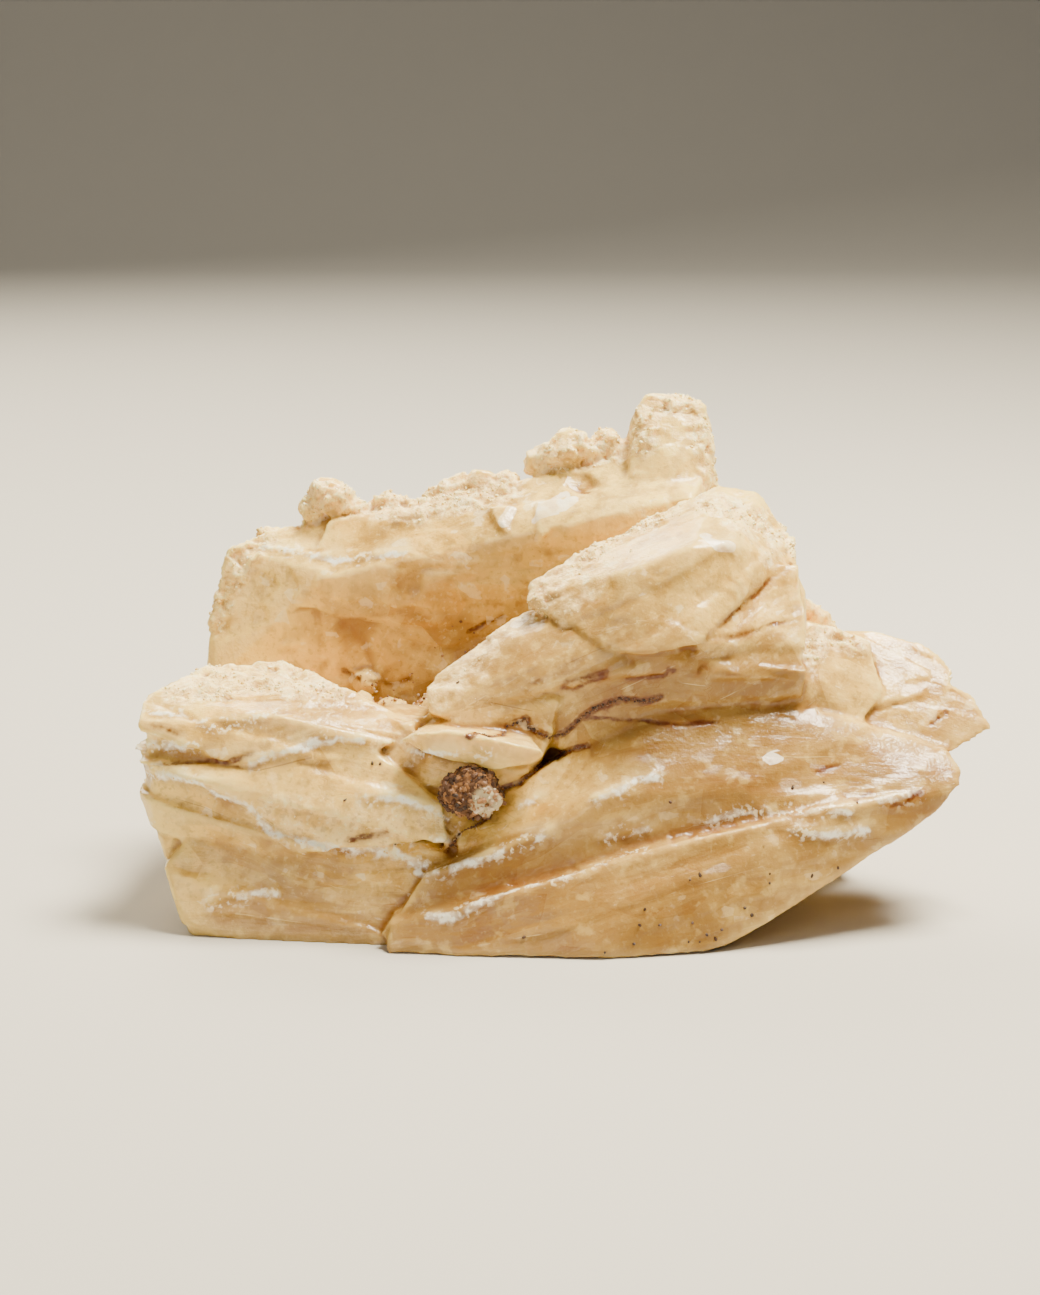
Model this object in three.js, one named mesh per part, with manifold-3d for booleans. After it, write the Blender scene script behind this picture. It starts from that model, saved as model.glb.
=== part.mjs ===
// A desert rose: one hand-sized cluster of gypsum blades that grew through each other, with a lump of
// cemented sand caught in the notch between its two front stacks. Millimetres, +Z up, front towards -Y.
//
// Every crystal is listed by its corners in the frame in which the rose stands: x to the right, y to the
// back and z up from the table. At the end the whole rose is moved so that the frame's origin is the middle
// of its footprint.
import * as THREE from "three";
import { ConvexGeometry } from "three/addons/geometries/ConvexGeometry.js";
import { mergeVertices } from "three/addons/utils/BufferGeometryUtils.js";
import Module from "manifold-3d";

const wasm = await Module();
wasm.setup();

// ---- driving dimensions ----
const LEDGE = 0.9; // usual step between one sheet's edge and the next
const SUNK = 2; // how far the crystals run on below the table before the underside is cut flat
const GAP = 0.3; // clearance between the sand lump and the pocket that holds it
const OVERLAP = 0.05; // how far neighbouring sheets run into each other, so that they join
const BEYOND = 400; // longer than the rose, for slabs that cut right through it
const LENS_SIDES = 9; // corners round the rim of a lens-shaped blade
const LENS_ROUGH = 0.42; // how far that rim wanders, as a share of its radius
const WALL_HOLLOW = { radii: [26, 2.4, 9], turn: -0.2, at: [-3, -17.2, 33] }; // dish in the wall's face
const RIM_POCKET = { radii: [3.1, 3.4, 1.9], at: [7.4, -12, 48.6] }; // small hole under the wall's rim
const LUMP_AT = [-5.6, -43.4, 17.4]; // middle of the sand lump
const LUMP_RADII = [4, 2.9, 3];
const LUMP_ROUGH = 0.22; // how far the lump's surface wanders, as a share of its radius
const LUMP_TURN = 0.12;

// ---- helpers ----
const vector = (point) => new THREE.Vector3(...point);
const joined = (solids) => solids.reduce((whole, next) => whole.add(next));

// A seeded random number from 0 to 1, the same on every run.
function randomFrom(seed) {
  let state = seed;
  return () => {
    state = (state * 16807) % 2147483647;
    return state / 2147483647;
  };
}

// A closed mesh becomes a solid that can be joined and cut.
function solidOf(geometry) {
  const loose = geometry.index ? geometry.toNonIndexed() : geometry.clone();
  loose.deleteAttribute("normal");
  loose.deleteAttribute("uv");
  const closed = mergeVertices(loose, 1e-4);
  return new wasm.Manifold(
    new wasm.Mesh({
      numProp: 3,
      vertProperties: closed.attributes.position.array,
      triVerts: new Uint32Array(closed.index.array),
    }),
  );
}

function geometryOf(solid) {
  const mesh = solid.getMesh();
  return new THREE.BufferGeometry()
    .setAttribute("position", new THREE.BufferAttribute(mesh.vertProperties, 3))
    .setIndex(new THREE.BufferAttribute(mesh.triVerts, 1));
}

// A plain crystal: flat faces over its corners.
const crystal = (corners) => solidOf(new ConvexGeometry(corners.map(vector)));

// A layered crystal: flat sheets lie across the direction `across`, and each ends LEDGE times its own step
// further in than the outermost, so that the sides carry ledges.
function layered(across, steps, corners) {
  const hull = new ConvexGeometry(corners.map(vector));
  const normal = vector(across).normalize();
  const heights = corners.map((corner) => vector(corner).dot(normal));
  const low = Math.min(...heights);
  const sheet = (Math.max(...heights) - low) / steps.length;
  const box = new THREE.Box3().setFromBufferAttribute(hull.attributes.position);
  const middle = box.getCenter(new THREE.Vector3());
  const reach = box.getSize(new THREE.Vector3());
  const halfWidth = (reach.x + reach.y + reach.z) / 6;
  const upright = new THREE.Quaternion().setFromUnitVectors(new THREE.Vector3(0, 0, 1), normal);
  const turn = new THREE.Matrix4().makeRotationFromQuaternion(upright);
  const turnBack = turn.clone().invert();
  const sheets = steps.map((step, i) => {
    const shrink = 1 - (step * LEDGE) / halfWidth;
    const inPlane = new THREE.Matrix4()
      .makeTranslation(...middle)
      .multiply(turn)
      .multiply(new THREE.Matrix4().makeScale(shrink, shrink, 1))
      .multiply(turnBack)
      .multiply(new THREE.Matrix4().makeTranslation(...middle.clone().negate()));
    const slab = new THREE.BoxGeometry(BEYOND, BEYOND, sheet + OVERLAP)
      .translate(0, 0, low + (i + 0.5) * sheet)
      .applyMatrix4(turn);
    return solidOf(hull.clone().applyMatrix4(inPlane)).intersect(solidOf(slab));
  });
  return joined(sheets);
}

// A lens-shaped blade, thickest in the middle and broken unevenly round its rim. It lies flat along x before
// it leans about its length, rises along it and turns on the table.
function lens({ seed, at, long, wide, thick, turn, rise, lean, steps }) {
  const random = randomFrom(seed);
  const pose = new THREE.Matrix4()
    .makeTranslation(...at)
    .multiply(new THREE.Matrix4().makeRotationZ(THREE.MathUtils.degToRad(turn)))
    .multiply(new THREE.Matrix4().makeRotationY(THREE.MathUtils.degToRad(-rise)))
    .multiply(new THREE.Matrix4().makeRotationX(THREE.MathUtils.degToRad(lean)));
  const ring = (share, z) =>
    Array.from({ length: LENS_SIDES }, (_, i) => {
      const angle = ((i + random() * 0.6) / LENS_SIDES) * 2 * Math.PI;
      const reach = (share * (1 + LENS_ROUGH * (random() - 0.5))) / 2;
      const corner = new THREE.Vector3(Math.cos(angle) * long, Math.sin(angle) * wide, 0);
      return corner.multiplyScalar(reach).setZ(z).applyMatrix4(pose);
    });
  const corners = [...ring(0.6, -thick / 2), ...ring(1, -thick / 10), ...ring(0.7, thick / 2)];
  const across = new THREE.Vector3(0, 0, 1).transformDirection(pose);
  return layered(across.toArray(), steps, corners.map((corner) => corner.toArray()));
}

// A row of small rough knobs along a path, each a little off its place.
function crumbs({ seed, path, count, size, spread }) {
  const random = randomFrom(seed);
  const along = new THREE.CatmullRomCurve3(path.map(vector));
  const knobs = Array.from({ length: count }, (_, i) => {
    const place = along.getPoint((i + 0.5) / count);
    const wander = () => (2 * random() - 1) * spread;
    const offset = new THREE.Vector3(wander(), wander(), wander());
    const radius = size * (0.7 + 0.6 * random());
    const knob = new THREE.DodecahedronGeometry(radius)
      .scale(1, 0.85 + 0.3 * random(), 0.75 + 0.3 * random())
      .rotateX(random() * Math.PI)
      .rotateZ(random() * Math.PI)
      .translate(...place.add(offset));
    return solidOf(knob);
  });
  return joined(knobs);
}

// ---- left stack: three thick crystals lying on each other, their sheets dipping to the right ----
const DIPPING = [0.22, -0.06, 0.97];

const leftStack = [
  layered(DIPPING, [0.6, 0, 0.5, 0.1], [
    [-38, -43.5, -SUNK], [-16.5, -46.5, -SUNK], [-38, -43.5, 0], [-16.5, -46.5, 0],
    [-40, -41.5, 3.5], [-41.5, -40, 8], [-36.5, -38, 13.5], [-29, -40, 12],
    [-10.5, -46, 1], [-8.5, -43, 10], [-39, -14, -SUNK], [-41, -16, 8],
    [-36, -16, 14], [-8, -14, -SUNK], [-8, -14, 10],
  ]),
  layered(DIPPING, [0.5, 0, 0.8, 0, 0.5], [
    [-42, -37, 7.5], [-44.5, -36, 14.5], [-45.5, -34, 20.5], [-43.5, -38.5, 18.5],
    [-37, -41, 17.5], [-29, -42.5, 15], [-19, -44, 10.5], [-8.5, -44, 11.5],
    [-9, -42.5, 15.5], [-16, -41.5, 17.5], [-18, -39, 22], [-34, -39, 19.5],
    [-42, -16, 8], [-43, -20, 17], [-38, -12, 21], [-10, -14, 20], [-10, -14, 10],
  ]),
  layered(DIPPING, [0, 0.7, 0, 0.5, 1.2], [
    [-44.5, -37, 19], [-44.5, -36, 24], [-44, -32, 26.5], [-38, -26, 28.5],
    [-28.5, -25, 29], [-21, -31, 27], [-14, -35, 24.5], [-12.5, -39, 22.5],
    [-27.5, -38.5, 25], [-34, -40, 19.5], [-18, -40, 20.5],
    [-42, -20, 17], [-36, -14, 22], [-20, -16, 18], [-12, -20, 18],
  ]),
];

// ---- middle: what joins the two front stacks, and a thin finger-like blade that crosses it ----
const middle = [
  layered(DIPPING, [0.5, 0, 0.6], [
    [-14, -35, 24.5], [-6, -38, 24], [4.5, -39.5, 23.5], [3, -40, 20.5],
    [-1.5, -39.5, 17], [-12.5, -40, 17], [-12, -20, 20], [2, -20, 20], [2, -22, 12], [-12, -20, 12],
  ]),
  crystal([
    [-14, -40, 22.5], [-12, -42, 24], [-8, -43.5, 24.5], [-1, -45, 23.5],
    [2.5, -44, 22.5], [3, -43.5, 21.5], [1.5, -43, 20.5], [-3, -44, 20],
    [-9, -42.5, 21], [-10, -36, 21], [0, -36, 21], [0, -36, 23.5], [-10, -36, 24],
  ]),
  // between the ramp above and the finger
  crystal([
    [-11, -36.5, 28], [-10.5, -38, 25.5], [-6, -39, 24], [0, -39, 23], [3.5, -38.5, 23],
    [4.5, -38.5, 27], [-4.5, -37.5, 28], [-10, -26, 27], [4, -26, 28], [4, -26, 20], [-10, -26, 20],
  ]),
  // behind the finger's tip
  crystal([
    [3, -37, 25], [9.5, -37.5, 26.5], [14, -37, 25], [10.5, -37.5, 21.5], [7, -38, 20],
    [4, -36.5, 21], [2.5, -36.5, 22.5], [2, -24, 26], [14, -24, 26], [12, -24, 18], [2, -24, 18],
  ]),
  // between the left stack and the finger's root
  crystal([
    [-16, -34.5, 24.5], [-12.5, -37.5, 24], [-12, -38.5, 19], [-15, -39, 18.5],
    [-15.5, -37.5, 22], [-16, -27.5, 24], [-10.5, -27, 23.5], [-10.5, -27, 16], [-16, -27.5, 16],
  ]),
  // floor of the notch under the sand lump
  crystal([
    [-11, -39.5, 17], [-2.5, -39, 17.5], [1, -39.5, 17], [-6, -41.5, 12.5], [-8.5, -42.5, 10],
    [-9, -41, 13.5], [-11, -30, 17], [1, -30, 17], [-6, -30, 8],
  ]),
];

// ---- lower right stack: four long blades seen on their edges, rising to the right ----
const RISING = [-0.3, -0.1, 0.95];

const rightStack = [
  layered(RISING, [0.7, 0, 0, 0.5], [
    [-16, -50, -SUNK], [-2.5, -51.5, -SUNK], [9, -52, -SUNK], [19, -51, -SUNK],
    [-16, -50, 0], [9, -52, 1], [25, -48.5, 0.5], [32, -45, 4.5],
    [45, -40.5, 11.5], [49, -39, 14], [51, -38, 16.5], [-15.5, -48.5, 3],
    [-1.5, -48.5, 7], [8, -47.5, 9.5], [19.5, -46, 13], [36, -43, 15.5],
    [-14, -18, -SUNK], [20, -16, -SUNK], [36, -22, 8], [44, -28, 14], [30, -18, 14], [-12, -20, 6],
  ]),
  layered(RISING, [0.4, 0, 0.6], [
    [-16, -48, 1.5], [-11.5, -46, 8], [-5.5, -46, 10], [2.5, -45, 12.5],
    [9.5, -43, 16.5], [15, -42, 18.5], [25.5, -42, 17], [36.5, -41, 16.5],
    [38.5, -41.5, 14.5], [-10, -20, 4], [36, -20, 12], [34, -20, 18], [0, -20, 14],
  ]),
  layered(RISING, [0, 0.6, 0, 0.5], [
    [-8.5, -43, 10.5], [-1.5, -40, 16.5], [7.5, -38.5, 21], [16.5, -36, 26],
    [25.5, -35, 27], [36, -34, 24], [47.5, -33, 21.5], [50.5, -34, 20],
    [52, -36, 18], [51.5, -38, 16.5], [45, -40, 14], [25.5, -42, 18],
    [9.5, -44, 17], [4.5, -45, 13.5], [0, -20, 14], [30, -16, 22], [46, -26, 18], [36, -20, 12],
  ]),
  layered(RISING, [0.3, 0, 0.4], [
    [2, -38, 23.5], [7.5, -38, 25], [16.5, -38, 27], [33, -35, 26.5],
    [33.5, -35.5, 30], [21, -38, 31.5], [12.5, -38.5, 31], [-6, -37.5, 26],
    [-2, -18, 20], [32, -14, 28], [32, -14, 22], [0, -18, 14],
  ]),
];

// ---- upper right block: a frosted ramp, the blunt crystal on it, and the wedge between them ----
const CLIMBING = [-0.42, -0.12, 0.9];

const upperRight = [
  layered(CLIMBING, [0.5, 0, 0.4, 0], [
    [-10.5, -37, 26.5], [-10, -34.5, 29], [0.5, -29, 35.5], [-2.5, -38.5, 27],
    [12, -39, 30.5], [26, -37.5, 29.5], [33, -35.5, 28.5], [33.5, -31, 36],
    [33.6, -27.6, 41.2], [21, -30, 42], [4, -33.5, 35], [9, -37.5, 33], [12.5, -38.5, 32],
    [16.5, -38.5, 32], [21, -37.5, 32],
    [-6, -22, 22], [4, -14, 30], [32, -10, 38], [32, -12, 24], [0, -16, 18],
  ]),
  layered(CLIMBING, [0, 0.5, 0, 0.4, 0], [
    [0.5, -31, 37], [1, -29, 38.5], [6.5, -26, 41.5], [15.5, -22.5, 45.5],
    [23.8, -19, 49], [29.5, -19, 48.1], [32.5, -22, 43.5], [33, -25, 40.5],
    [25.5, -34, 38], [20.5, -38.5, 33.5], [14, -39.5, 32.5], [9.5, -38.5, 33],
    [25, -32, 44], [20, -34, 44], [13, -34, 41.5], [30, -12, 42], [20, -12, 42], [8, -16, 36], [32, -12, 32],
  ]),
  crystal([
    [32.5, -26.5, 40.5], [34, -27.5, 37.5], [33.5, -33.5, 32], [33, -31.5, 35], [29, -34, 34.5],
    [21.5, -37.5, 33.5], [20, -38, 32], [23, -36, 35.5], [25.5, -33.5, 37],
    [32, -14, 36], [30, -14, 30], [22, -20, 30],
  ]),
];

// ---- back wall: an upright plate with a smooth hollowed face and a crumbled top ----
const FACING = [0.08, -1, 0.12];

const wall = [
  layered(FACING, [0.9, 0.4, 0], [
    [-39, -13, 24], [-38, -12, 32], [-36, -10, 39.5], [-32, -8, 41.5],
    [-22, -6, 44], [-32, -12, 36.5], [-24, -14, 37.5], [-24, -14.5, 22], [-37.5, -14.5, 24],
    [-37, 2, 20], [-33, 0, 37], [-22, -1, 42], [-12, 0, 40], [-12, -14, 30], [-12, -4, 20], [-38, -4, 20],
  ]),
  layered(FACING, [0.5, 0.1, 0.5], [
    [-26, -14, 36.5], [-11, -15, 38.5], [-2.5, -15.5, 41], [10, -16.5, 45],
    [21.5, -17, 47.5], [-24, -9, 43], [-11, -9, 43.5], [0.5, -9, 47],
    [14, -8, 51], [24, -9.5, 50], [-24, -15, 20], [0, -16, 20], [22, -17, 24],
    [-22, 0, 40], [20, 0, 47], [22, 4, 20], [-24, 4, 18],
  ]),
  crystal([
    [14.5, -8, 50], [14, -8, 56.5], [15.5, -7, 58.5], [18, -6, 58.5],
    [21, -6, 58], [23, -7, 57], [23.5, -8, 54], [24.5, -10, 47],
    [13, -13, 46], [20, -14, 47], [16, -1, 57], [22, 0, 56], [24, 2, 46], [12, 2, 46],
  ]),
];
const wallHollow = new THREE.SphereGeometry(1, 24, 16)
  .scale(...WALL_HOLLOW.radii)
  .rotateY(WALL_HOLLOW.turn)
  .translate(...WALL_HOLLOW.at);
const rimPocket = new THREE.DodecahedronGeometry(1).scale(...RIM_POCKET.radii).translate(...RIM_POCKET.at);
const backWall = [
  joined(wall).subtract(solidOf(wallHollow)).subtract(solidOf(rimPocket)),
  crumbs({
    seed: 11, count: 7, size: 1.7, spread: 0.6,
    path: [[-37, -7, 32], [-34.5, -6, 38], [-31, -5, 41]],
  }),
  crumbs({
    seed: 24, count: 3, size: 2.6, spread: 0.3,
    path: [[-26.8, -6.5, 43.4], [-24, -6, 45.6], [-22, -6.5, 45]],
  }),
  crumbs({
    seed: 32, count: 13, size: 1.9, spread: 0.7,
    path: [[-20, -6, 44], [-16, -6.5, 43.7], [-11, -6.5, 45.6], [-5, -6.5, 46.7], [-1, -6.5, 47.1]],
  }),
  crumbs({
    seed: 43, count: 8, size: 2.2, spread: 0.8,
    path: [[3.2, -6, 49.4], [7, -6, 52.3], [12.5, -6, 50.5]],
  }),
];

// Two bright cleavage flakes stand a little proud of the wall, under its crumbled rim.
const flakes = [
  crystal([
    [-3.9, -12.4, 45.5], [-1, -12.8, 45.8], [-1.8, -15.6, 42.9], [-2.9, -14.9, 43.8],
    [-3.9, -8, 43], [-1, -8, 43], [-2, -10, 39],
  ]),
  crystal([
    [1.7, -13.2, 46.3], [6.6, -12.9, 47], [7.2, -15.4, 45.1], [2.4, -17, 42.3],
    [1.9, -15.2, 44.7], [2, -8, 43], [6, -8, 43], [3, -12, 39],
  ]),
];

// ---- between the wedge, the lower right stack and the fins ----
const wedgeFoot = crystal([
  [30.5, -34.7, 28], [33.5, -33.4, 28.5], [36, -32.8, 25.5], [34.5, -34, 23.8], [30.8, -34.9, 25.6],
  [31, -27, 28.5], [35, -27, 28], [35.3, -27.4, 23], [30.6, -27.2, 23.4],
]);

// ---- right fins: thin blades that fan out to the right ----
const FANNING = [0.28, -0.1, 0.95];

const fins = [
  layered(FANNING, [0, 0.5, 0, 0.4], [
    [35.5, -24, 31.5], [43, -22, 32], [48.5, -23, 30.5], [51.5, -24, 28.5],
    [52.5, -26, 27], [51.5, -27, 26.5], [45, -30, 25], [35, -32, 23],
    [28, -16, 31], [28, -16, 20], [44, -16, 26],
  ]),
  layered(FANNING, [0.4, 0, 0.5], [
    [38, -30, 25], [51.5, -27, 26.5], [54.5, -27, 25], [55, -28, 23.5],
    [56.5, -30, 21.5], [51.5, -33, 19.5], [42, -34, 20.5], [32, -20, 24], [32, -20, 14], [48, -20, 20],
  ]),
  crystal([
    [34, -27, 34], [37, -25, 32], [41.5, -26, 31.5], [43, -30, 26],
    [40, -33, 22.5], [33.5, -34, 23], [33.5, -33, 28], [26, -14, 35], [28, -16, 20], [40, -16, 24],
  ]),
  crumbs({
    seed: 54, count: 4, size: 1.8, spread: 0.5,
    path: [[34, -15, 33], [36.5, -15, 32], [37.5, -15, 29]],
  }),
];

// ---- back: blades that stand round the wall and lean on it ----
const back = [
  lens({
    seed: 3, at: [-12, 1, 20], long: 46, wide: 46, thick: 13,
    turn: 6, rise: 8, lean: 112, steps: [1.5, 0, 0.7, 1.2],
  }),
  lens({
    seed: 5, at: [15, 0, 21], long: 50, wide: 44, thick: 12,
    turn: -12, rise: -14, lean: 106, steps: [1, 0, 0.9],
  }),
  lens({
    seed: 7, at: [-1, 1, 7], long: 78, wide: 38, thick: 15,
    turn: -4, rise: 2, lean: 152, steps: [0.4, 0, 0.9, 1.5],
  }),
  lens({
    seed: 29, at: [7, 6, 13], long: 44, wide: 30, thick: 9,
    turn: 22, rise: 16, lean: 124, steps: [0.8, 0, 0.8],
  }),
  lens({
    seed: 13, at: [-34, -16, 11], long: 42, wide: 28, thick: 12,
    turn: 80, rise: 4, lean: 72, steps: [0.8, 0, 0.6],
  }),
  lens({
    seed: 17, at: [27, -9, 15], long: 42, wide: 34, thick: 13,
    turn: -48, rise: -6, lean: 114, steps: [0.6, 0, 0.9],
  }),
];

const heart = crystal([
  [-34, -38, -SUNK], [24, -46, -SUNK], [28, -8, -SUNK], [-34, -6, -SUNK],
  [-30, -34, 14], [26, -36, 22], [26, -8, 24], [-28, -6, 20],
]);

// ---- druse on the floor of the hollow between the wall and the front blocks ----
const druse = [
  crumbs({
    seed: 65, count: 8, size: 1.8, spread: 1,
    path: [[-22, -21, 22], [-16, -20, 21], [-10, -22, 21], [-5, -19, 24]],
  }),
  crumbs({
    seed: 76, count: 6, size: 1.5, spread: 0.8,
    path: [[-20, -16, 24], [-10, -17, 24], [-2, -17, 27]],
  }),
];

// ---- sand lump and its pocket ----
function lumpShape(grow) {
  const random = randomFrom(8);
  const loose = new THREE.IcosahedronGeometry(1, 1).deleteAttribute("uv").deleteAttribute("normal");
  const ball = mergeVertices(loose, 1e-4);
  const points = ball.attributes.position;
  for (let i = 0; i < points.count; i++) {
    const direction = new THREE.Vector3().fromBufferAttribute(points, i);
    const wander = 1 + LUMP_ROUGH * (random() - 0.5);
    const radii = vector(LUMP_RADII).multiplyScalar(wander).addScalar(grow);
    points.setXYZ(i, ...direction.multiply(radii));
  }
  return solidOf(ball.rotateY(LUMP_TURN).translate(...LUMP_AT));
}

const table = new THREE.BoxGeometry(BEYOND, BEYOND, BEYOND).translate(0, 0, -BEYOND / 2);
const cluster = joined([
  heart,
  ...leftStack,
  ...middle,
  ...rightStack,
  ...upperRight,
  wedgeFoot,
  ...backWall,
  ...flakes,
  ...fins,
  ...back,
  ...druse,
])
  .subtract(solidOf(table))
  .subtract(lumpShape(GAP));

// Only the largest skin is kept: spaces closed in between the blades are solid gypsum, and a knob that
// touches nothing has fallen off.
const rose = cluster.decompose().sort((a, b) => b.volume() - a.volume())[0];
const sandLump = lumpShape(0);

// ---- the frame's origin is the middle of the footprint ----
const footprint = rose.boundingBox();
const toOrigin = [
  -(footprint.min[0] + footprint.max[0]) / 2,
  -(footprint.min[1] + footprint.max[1]) / 2,
  -footprint.min[2],
];

const gypsum = new THREE.MeshStandardMaterial({ color: 0xdcc39a, roughness: 0.4, metalness: 0 });
const sand = new THREE.MeshStandardMaterial({ color: 0x8a7258, roughness: 0.95, metalness: 0 });

function piece(name, solid, material) {
  const mesh = new THREE.Mesh(geometryOf(solid).translate(...toOrigin), material);
  mesh.name = name;
  return mesh;
}

const group = new THREE.Group();
group.add(piece("crystal_cluster", rose, gypsum), piece("sand_lump", sandLump, sand));
export default group;
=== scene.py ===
# %% [markdown]
# # A desert rose of gypsum blades
# A desert rose is one piece of rock: gypsum that grew as flat blades, layer on layer, until the blades ran into
# each other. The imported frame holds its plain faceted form. This script gives it a skin: the sheets, frosted rims,
# clay-filled cracks and sand of the real thing. Lengths are in millimetres until a mesh is written.

# %% Load the frame
import math

import bmesh
import bpy
import numpy as np
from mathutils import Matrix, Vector
from mathutils.bvhtree import BVHTree


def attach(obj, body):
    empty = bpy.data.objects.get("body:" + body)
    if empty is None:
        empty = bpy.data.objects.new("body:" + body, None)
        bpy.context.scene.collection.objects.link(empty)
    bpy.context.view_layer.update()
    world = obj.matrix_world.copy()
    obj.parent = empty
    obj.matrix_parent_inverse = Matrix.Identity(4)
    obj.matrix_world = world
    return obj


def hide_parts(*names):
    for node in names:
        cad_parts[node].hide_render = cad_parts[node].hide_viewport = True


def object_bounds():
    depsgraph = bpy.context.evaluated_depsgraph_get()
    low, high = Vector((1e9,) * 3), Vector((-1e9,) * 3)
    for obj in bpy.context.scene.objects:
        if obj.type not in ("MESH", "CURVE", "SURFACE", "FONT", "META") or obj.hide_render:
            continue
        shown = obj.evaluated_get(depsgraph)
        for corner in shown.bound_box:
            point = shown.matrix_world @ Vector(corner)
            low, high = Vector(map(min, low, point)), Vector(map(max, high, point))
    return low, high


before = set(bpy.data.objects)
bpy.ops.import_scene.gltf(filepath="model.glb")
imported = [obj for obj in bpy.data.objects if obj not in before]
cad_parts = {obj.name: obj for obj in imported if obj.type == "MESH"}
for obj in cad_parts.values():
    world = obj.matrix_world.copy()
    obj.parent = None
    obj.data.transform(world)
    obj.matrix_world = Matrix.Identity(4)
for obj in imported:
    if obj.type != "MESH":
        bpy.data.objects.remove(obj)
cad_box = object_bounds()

MM = 0.001
low, high = np.array(cad_box[0]) / MM, np.array(cad_box[1]) / MM
print("the frame's box in mm:", low.round(1), high.round(1))

# %% [markdown]
# ## Where things are
# The rose was laid out on a table in its own millimetres: x to the right, y to the back and z up, with x = 0 on the
# camera's line of sight. Its leftmost point is 45.5 mm left of that line and its foremost is 52 mm in front of the
# middle. So one small function turns a place on that table into the frame's millimetres.

# %% The rose's own table
LEFTMOST = -45.5
FOREMOST = -52.0
ORIGIN = np.array([low[0] - LEFTMOST, low[1] - FOREMOST, 0.0])


def on_table(x, y, z):
    """A place in the rose's own millimetres, in the frame's."""
    return ORIGIN + (x, y, z)


print("the table's origin in the frame:", ORIGIN.round(2))

# %% [markdown]
# ## The camera
# A hand-held look from a little above: 380 mm from the rose, pitched down 12 degrees. The camera comes first because
# many small marks of the rose, such as a crack, are easiest to give as the places where they show in the view. Each
# such place is then carried along its line of sight onto the surface, so it lies on the rose from every side.

# %% Camera
VIEW_WIDE, VIEW_HIGH = 1040, 1295
VIEW_PITCH = math.radians(12)
VIEW_DISTANCE = 380.0
AIM_HEIGHT = 25.0
FOCAL_PIXELS = 2964.0
SENSOR = 24.0

forward = np.array([0, math.cos(VIEW_PITCH), -math.sin(VIEW_PITCH)])
upward = np.array([0, math.sin(VIEW_PITCH), math.cos(VIEW_PITCH)])
eye = on_table(0, 0, AIM_HEIGHT) - VIEW_DISTANCE * forward

camera = bpy.data.objects.new("camera", bpy.data.cameras.new("camera"))
bpy.context.scene.collection.objects.link(camera)
bpy.context.scene.camera = camera
camera.data.sensor_fit = "VERTICAL"
camera.data.sensor_height = SENSOR
camera.data.lens = FOCAL_PIXELS / VIEW_HIGH * SENSOR
camera.location = eye * MM
camera.rotation_euler = (math.pi / 2 - VIEW_PITCH, 0, 0)
print("camera at", (eye * MM).round(4), "lens", round(camera.data.lens, 1))


def sight(u, v):
    """The direction in which the camera sees the point u, v of its 1040 by 1295 view."""
    aside, below = (u - VIEW_WIDE / 2) / FOCAL_PIXELS, (v - VIEW_HIGH / 2) / FOCAL_PIXELS
    line = forward + np.array([aside, 0, 0]) - upward * below
    return line / np.linalg.norm(line)


# %% [markdown]
# ## From plain facets to a skin that can be sculpted
# The frame's solid is a few thousand flat triangles. To carve sheets into it the surface needs points everywhere,
# less than half a millimetre apart. Subdividing would leave slivers wherever a facet is thin. A voxel remesh gives
# even faces and keeps one closed skin. The copy's loose triangles are merged first, because a remesh needs a closed
# surface.

# %% Make objects and meshes
MERGE_WITHIN = 1e-6


def new_object(name, data):
    made = bpy.data.objects.new(name, data)
    bpy.context.scene.collection.objects.link(made)
    return made


def with_modifier(obj, kind, **settings):
    """Puts one modifier on an object and applies it to the mesh."""
    modifier = obj.modifiers.new(kind.lower(), kind)
    for key, value in settings.items():
        setattr(modifier, key, value)
    depsgraph = bpy.context.evaluated_depsgraph_get()
    mesh = bpy.data.meshes.new_from_object(obj.evaluated_get(depsgraph))
    obj.modifiers.clear()
    obj.data = mesh


def merged_copy(node, name):
    """A copy of a frame node with its loose triangles merged."""
    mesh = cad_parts[node].data.copy()
    mesh.materials.clear()
    work = bmesh.new()
    work.from_mesh(mesh)
    bmesh.ops.remove_doubles(work, verts=work.verts, dist=MERGE_WITHIN)
    work.to_mesh(mesh)
    work.free()
    return new_object(name, mesh)


# %% Read and move the points of a mesh
def points_of(mesh):
    """A mesh's points in millimetres."""
    flat = np.empty(len(mesh.vertices) * 3)
    mesh.vertices.foreach_get("co", flat)
    return flat.reshape(-1, 3) / MM


def normals_of(mesh):
    flat = np.empty(len(mesh.vertices) * 3)
    mesh.vertex_normals.foreach_get("vector", flat)
    return flat.reshape(-1, 3)


def edges_of(mesh):
    flat = np.empty(len(mesh.edges) * 2, dtype=np.int64)
    mesh.edges.foreach_get("vertices", flat)
    return flat.reshape(-1, 2)


def triangles_in(mesh):
    return sum(len(face.vertices) - 2 for face in mesh.polygons)


def surface_of(mesh):
    """A mesh in millimetres that rays can hit and that the nearest place can be found on."""
    return BVHTree.FromPolygons(points_of(mesh).tolist(), [tuple(face.vertices) for face in mesh.polygons])


def move_points(mesh, points):
    mesh.vertices.foreach_set("co", (points * MM).ravel())
    mesh.update()


# %% Relax a surface
def relaxed(points, edges, times):
    """Each point moves halfway to the middle of its neighbours, so many times over."""
    one, other = edges.T
    count = np.bincount(edges.ravel(), minlength=len(points))[:, None]
    for _ in range(times):
        total = np.empty_like(points)
        for axis in range(3):
            total[:, axis] = np.bincount(one, points[other, axis], len(points))
            total[:, axis] += np.bincount(other, points[one, axis], len(points))
        points = 0.5 * points + 0.5 * total / count
    return points


# %% Remesh
VOXEL = 0.36

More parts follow.
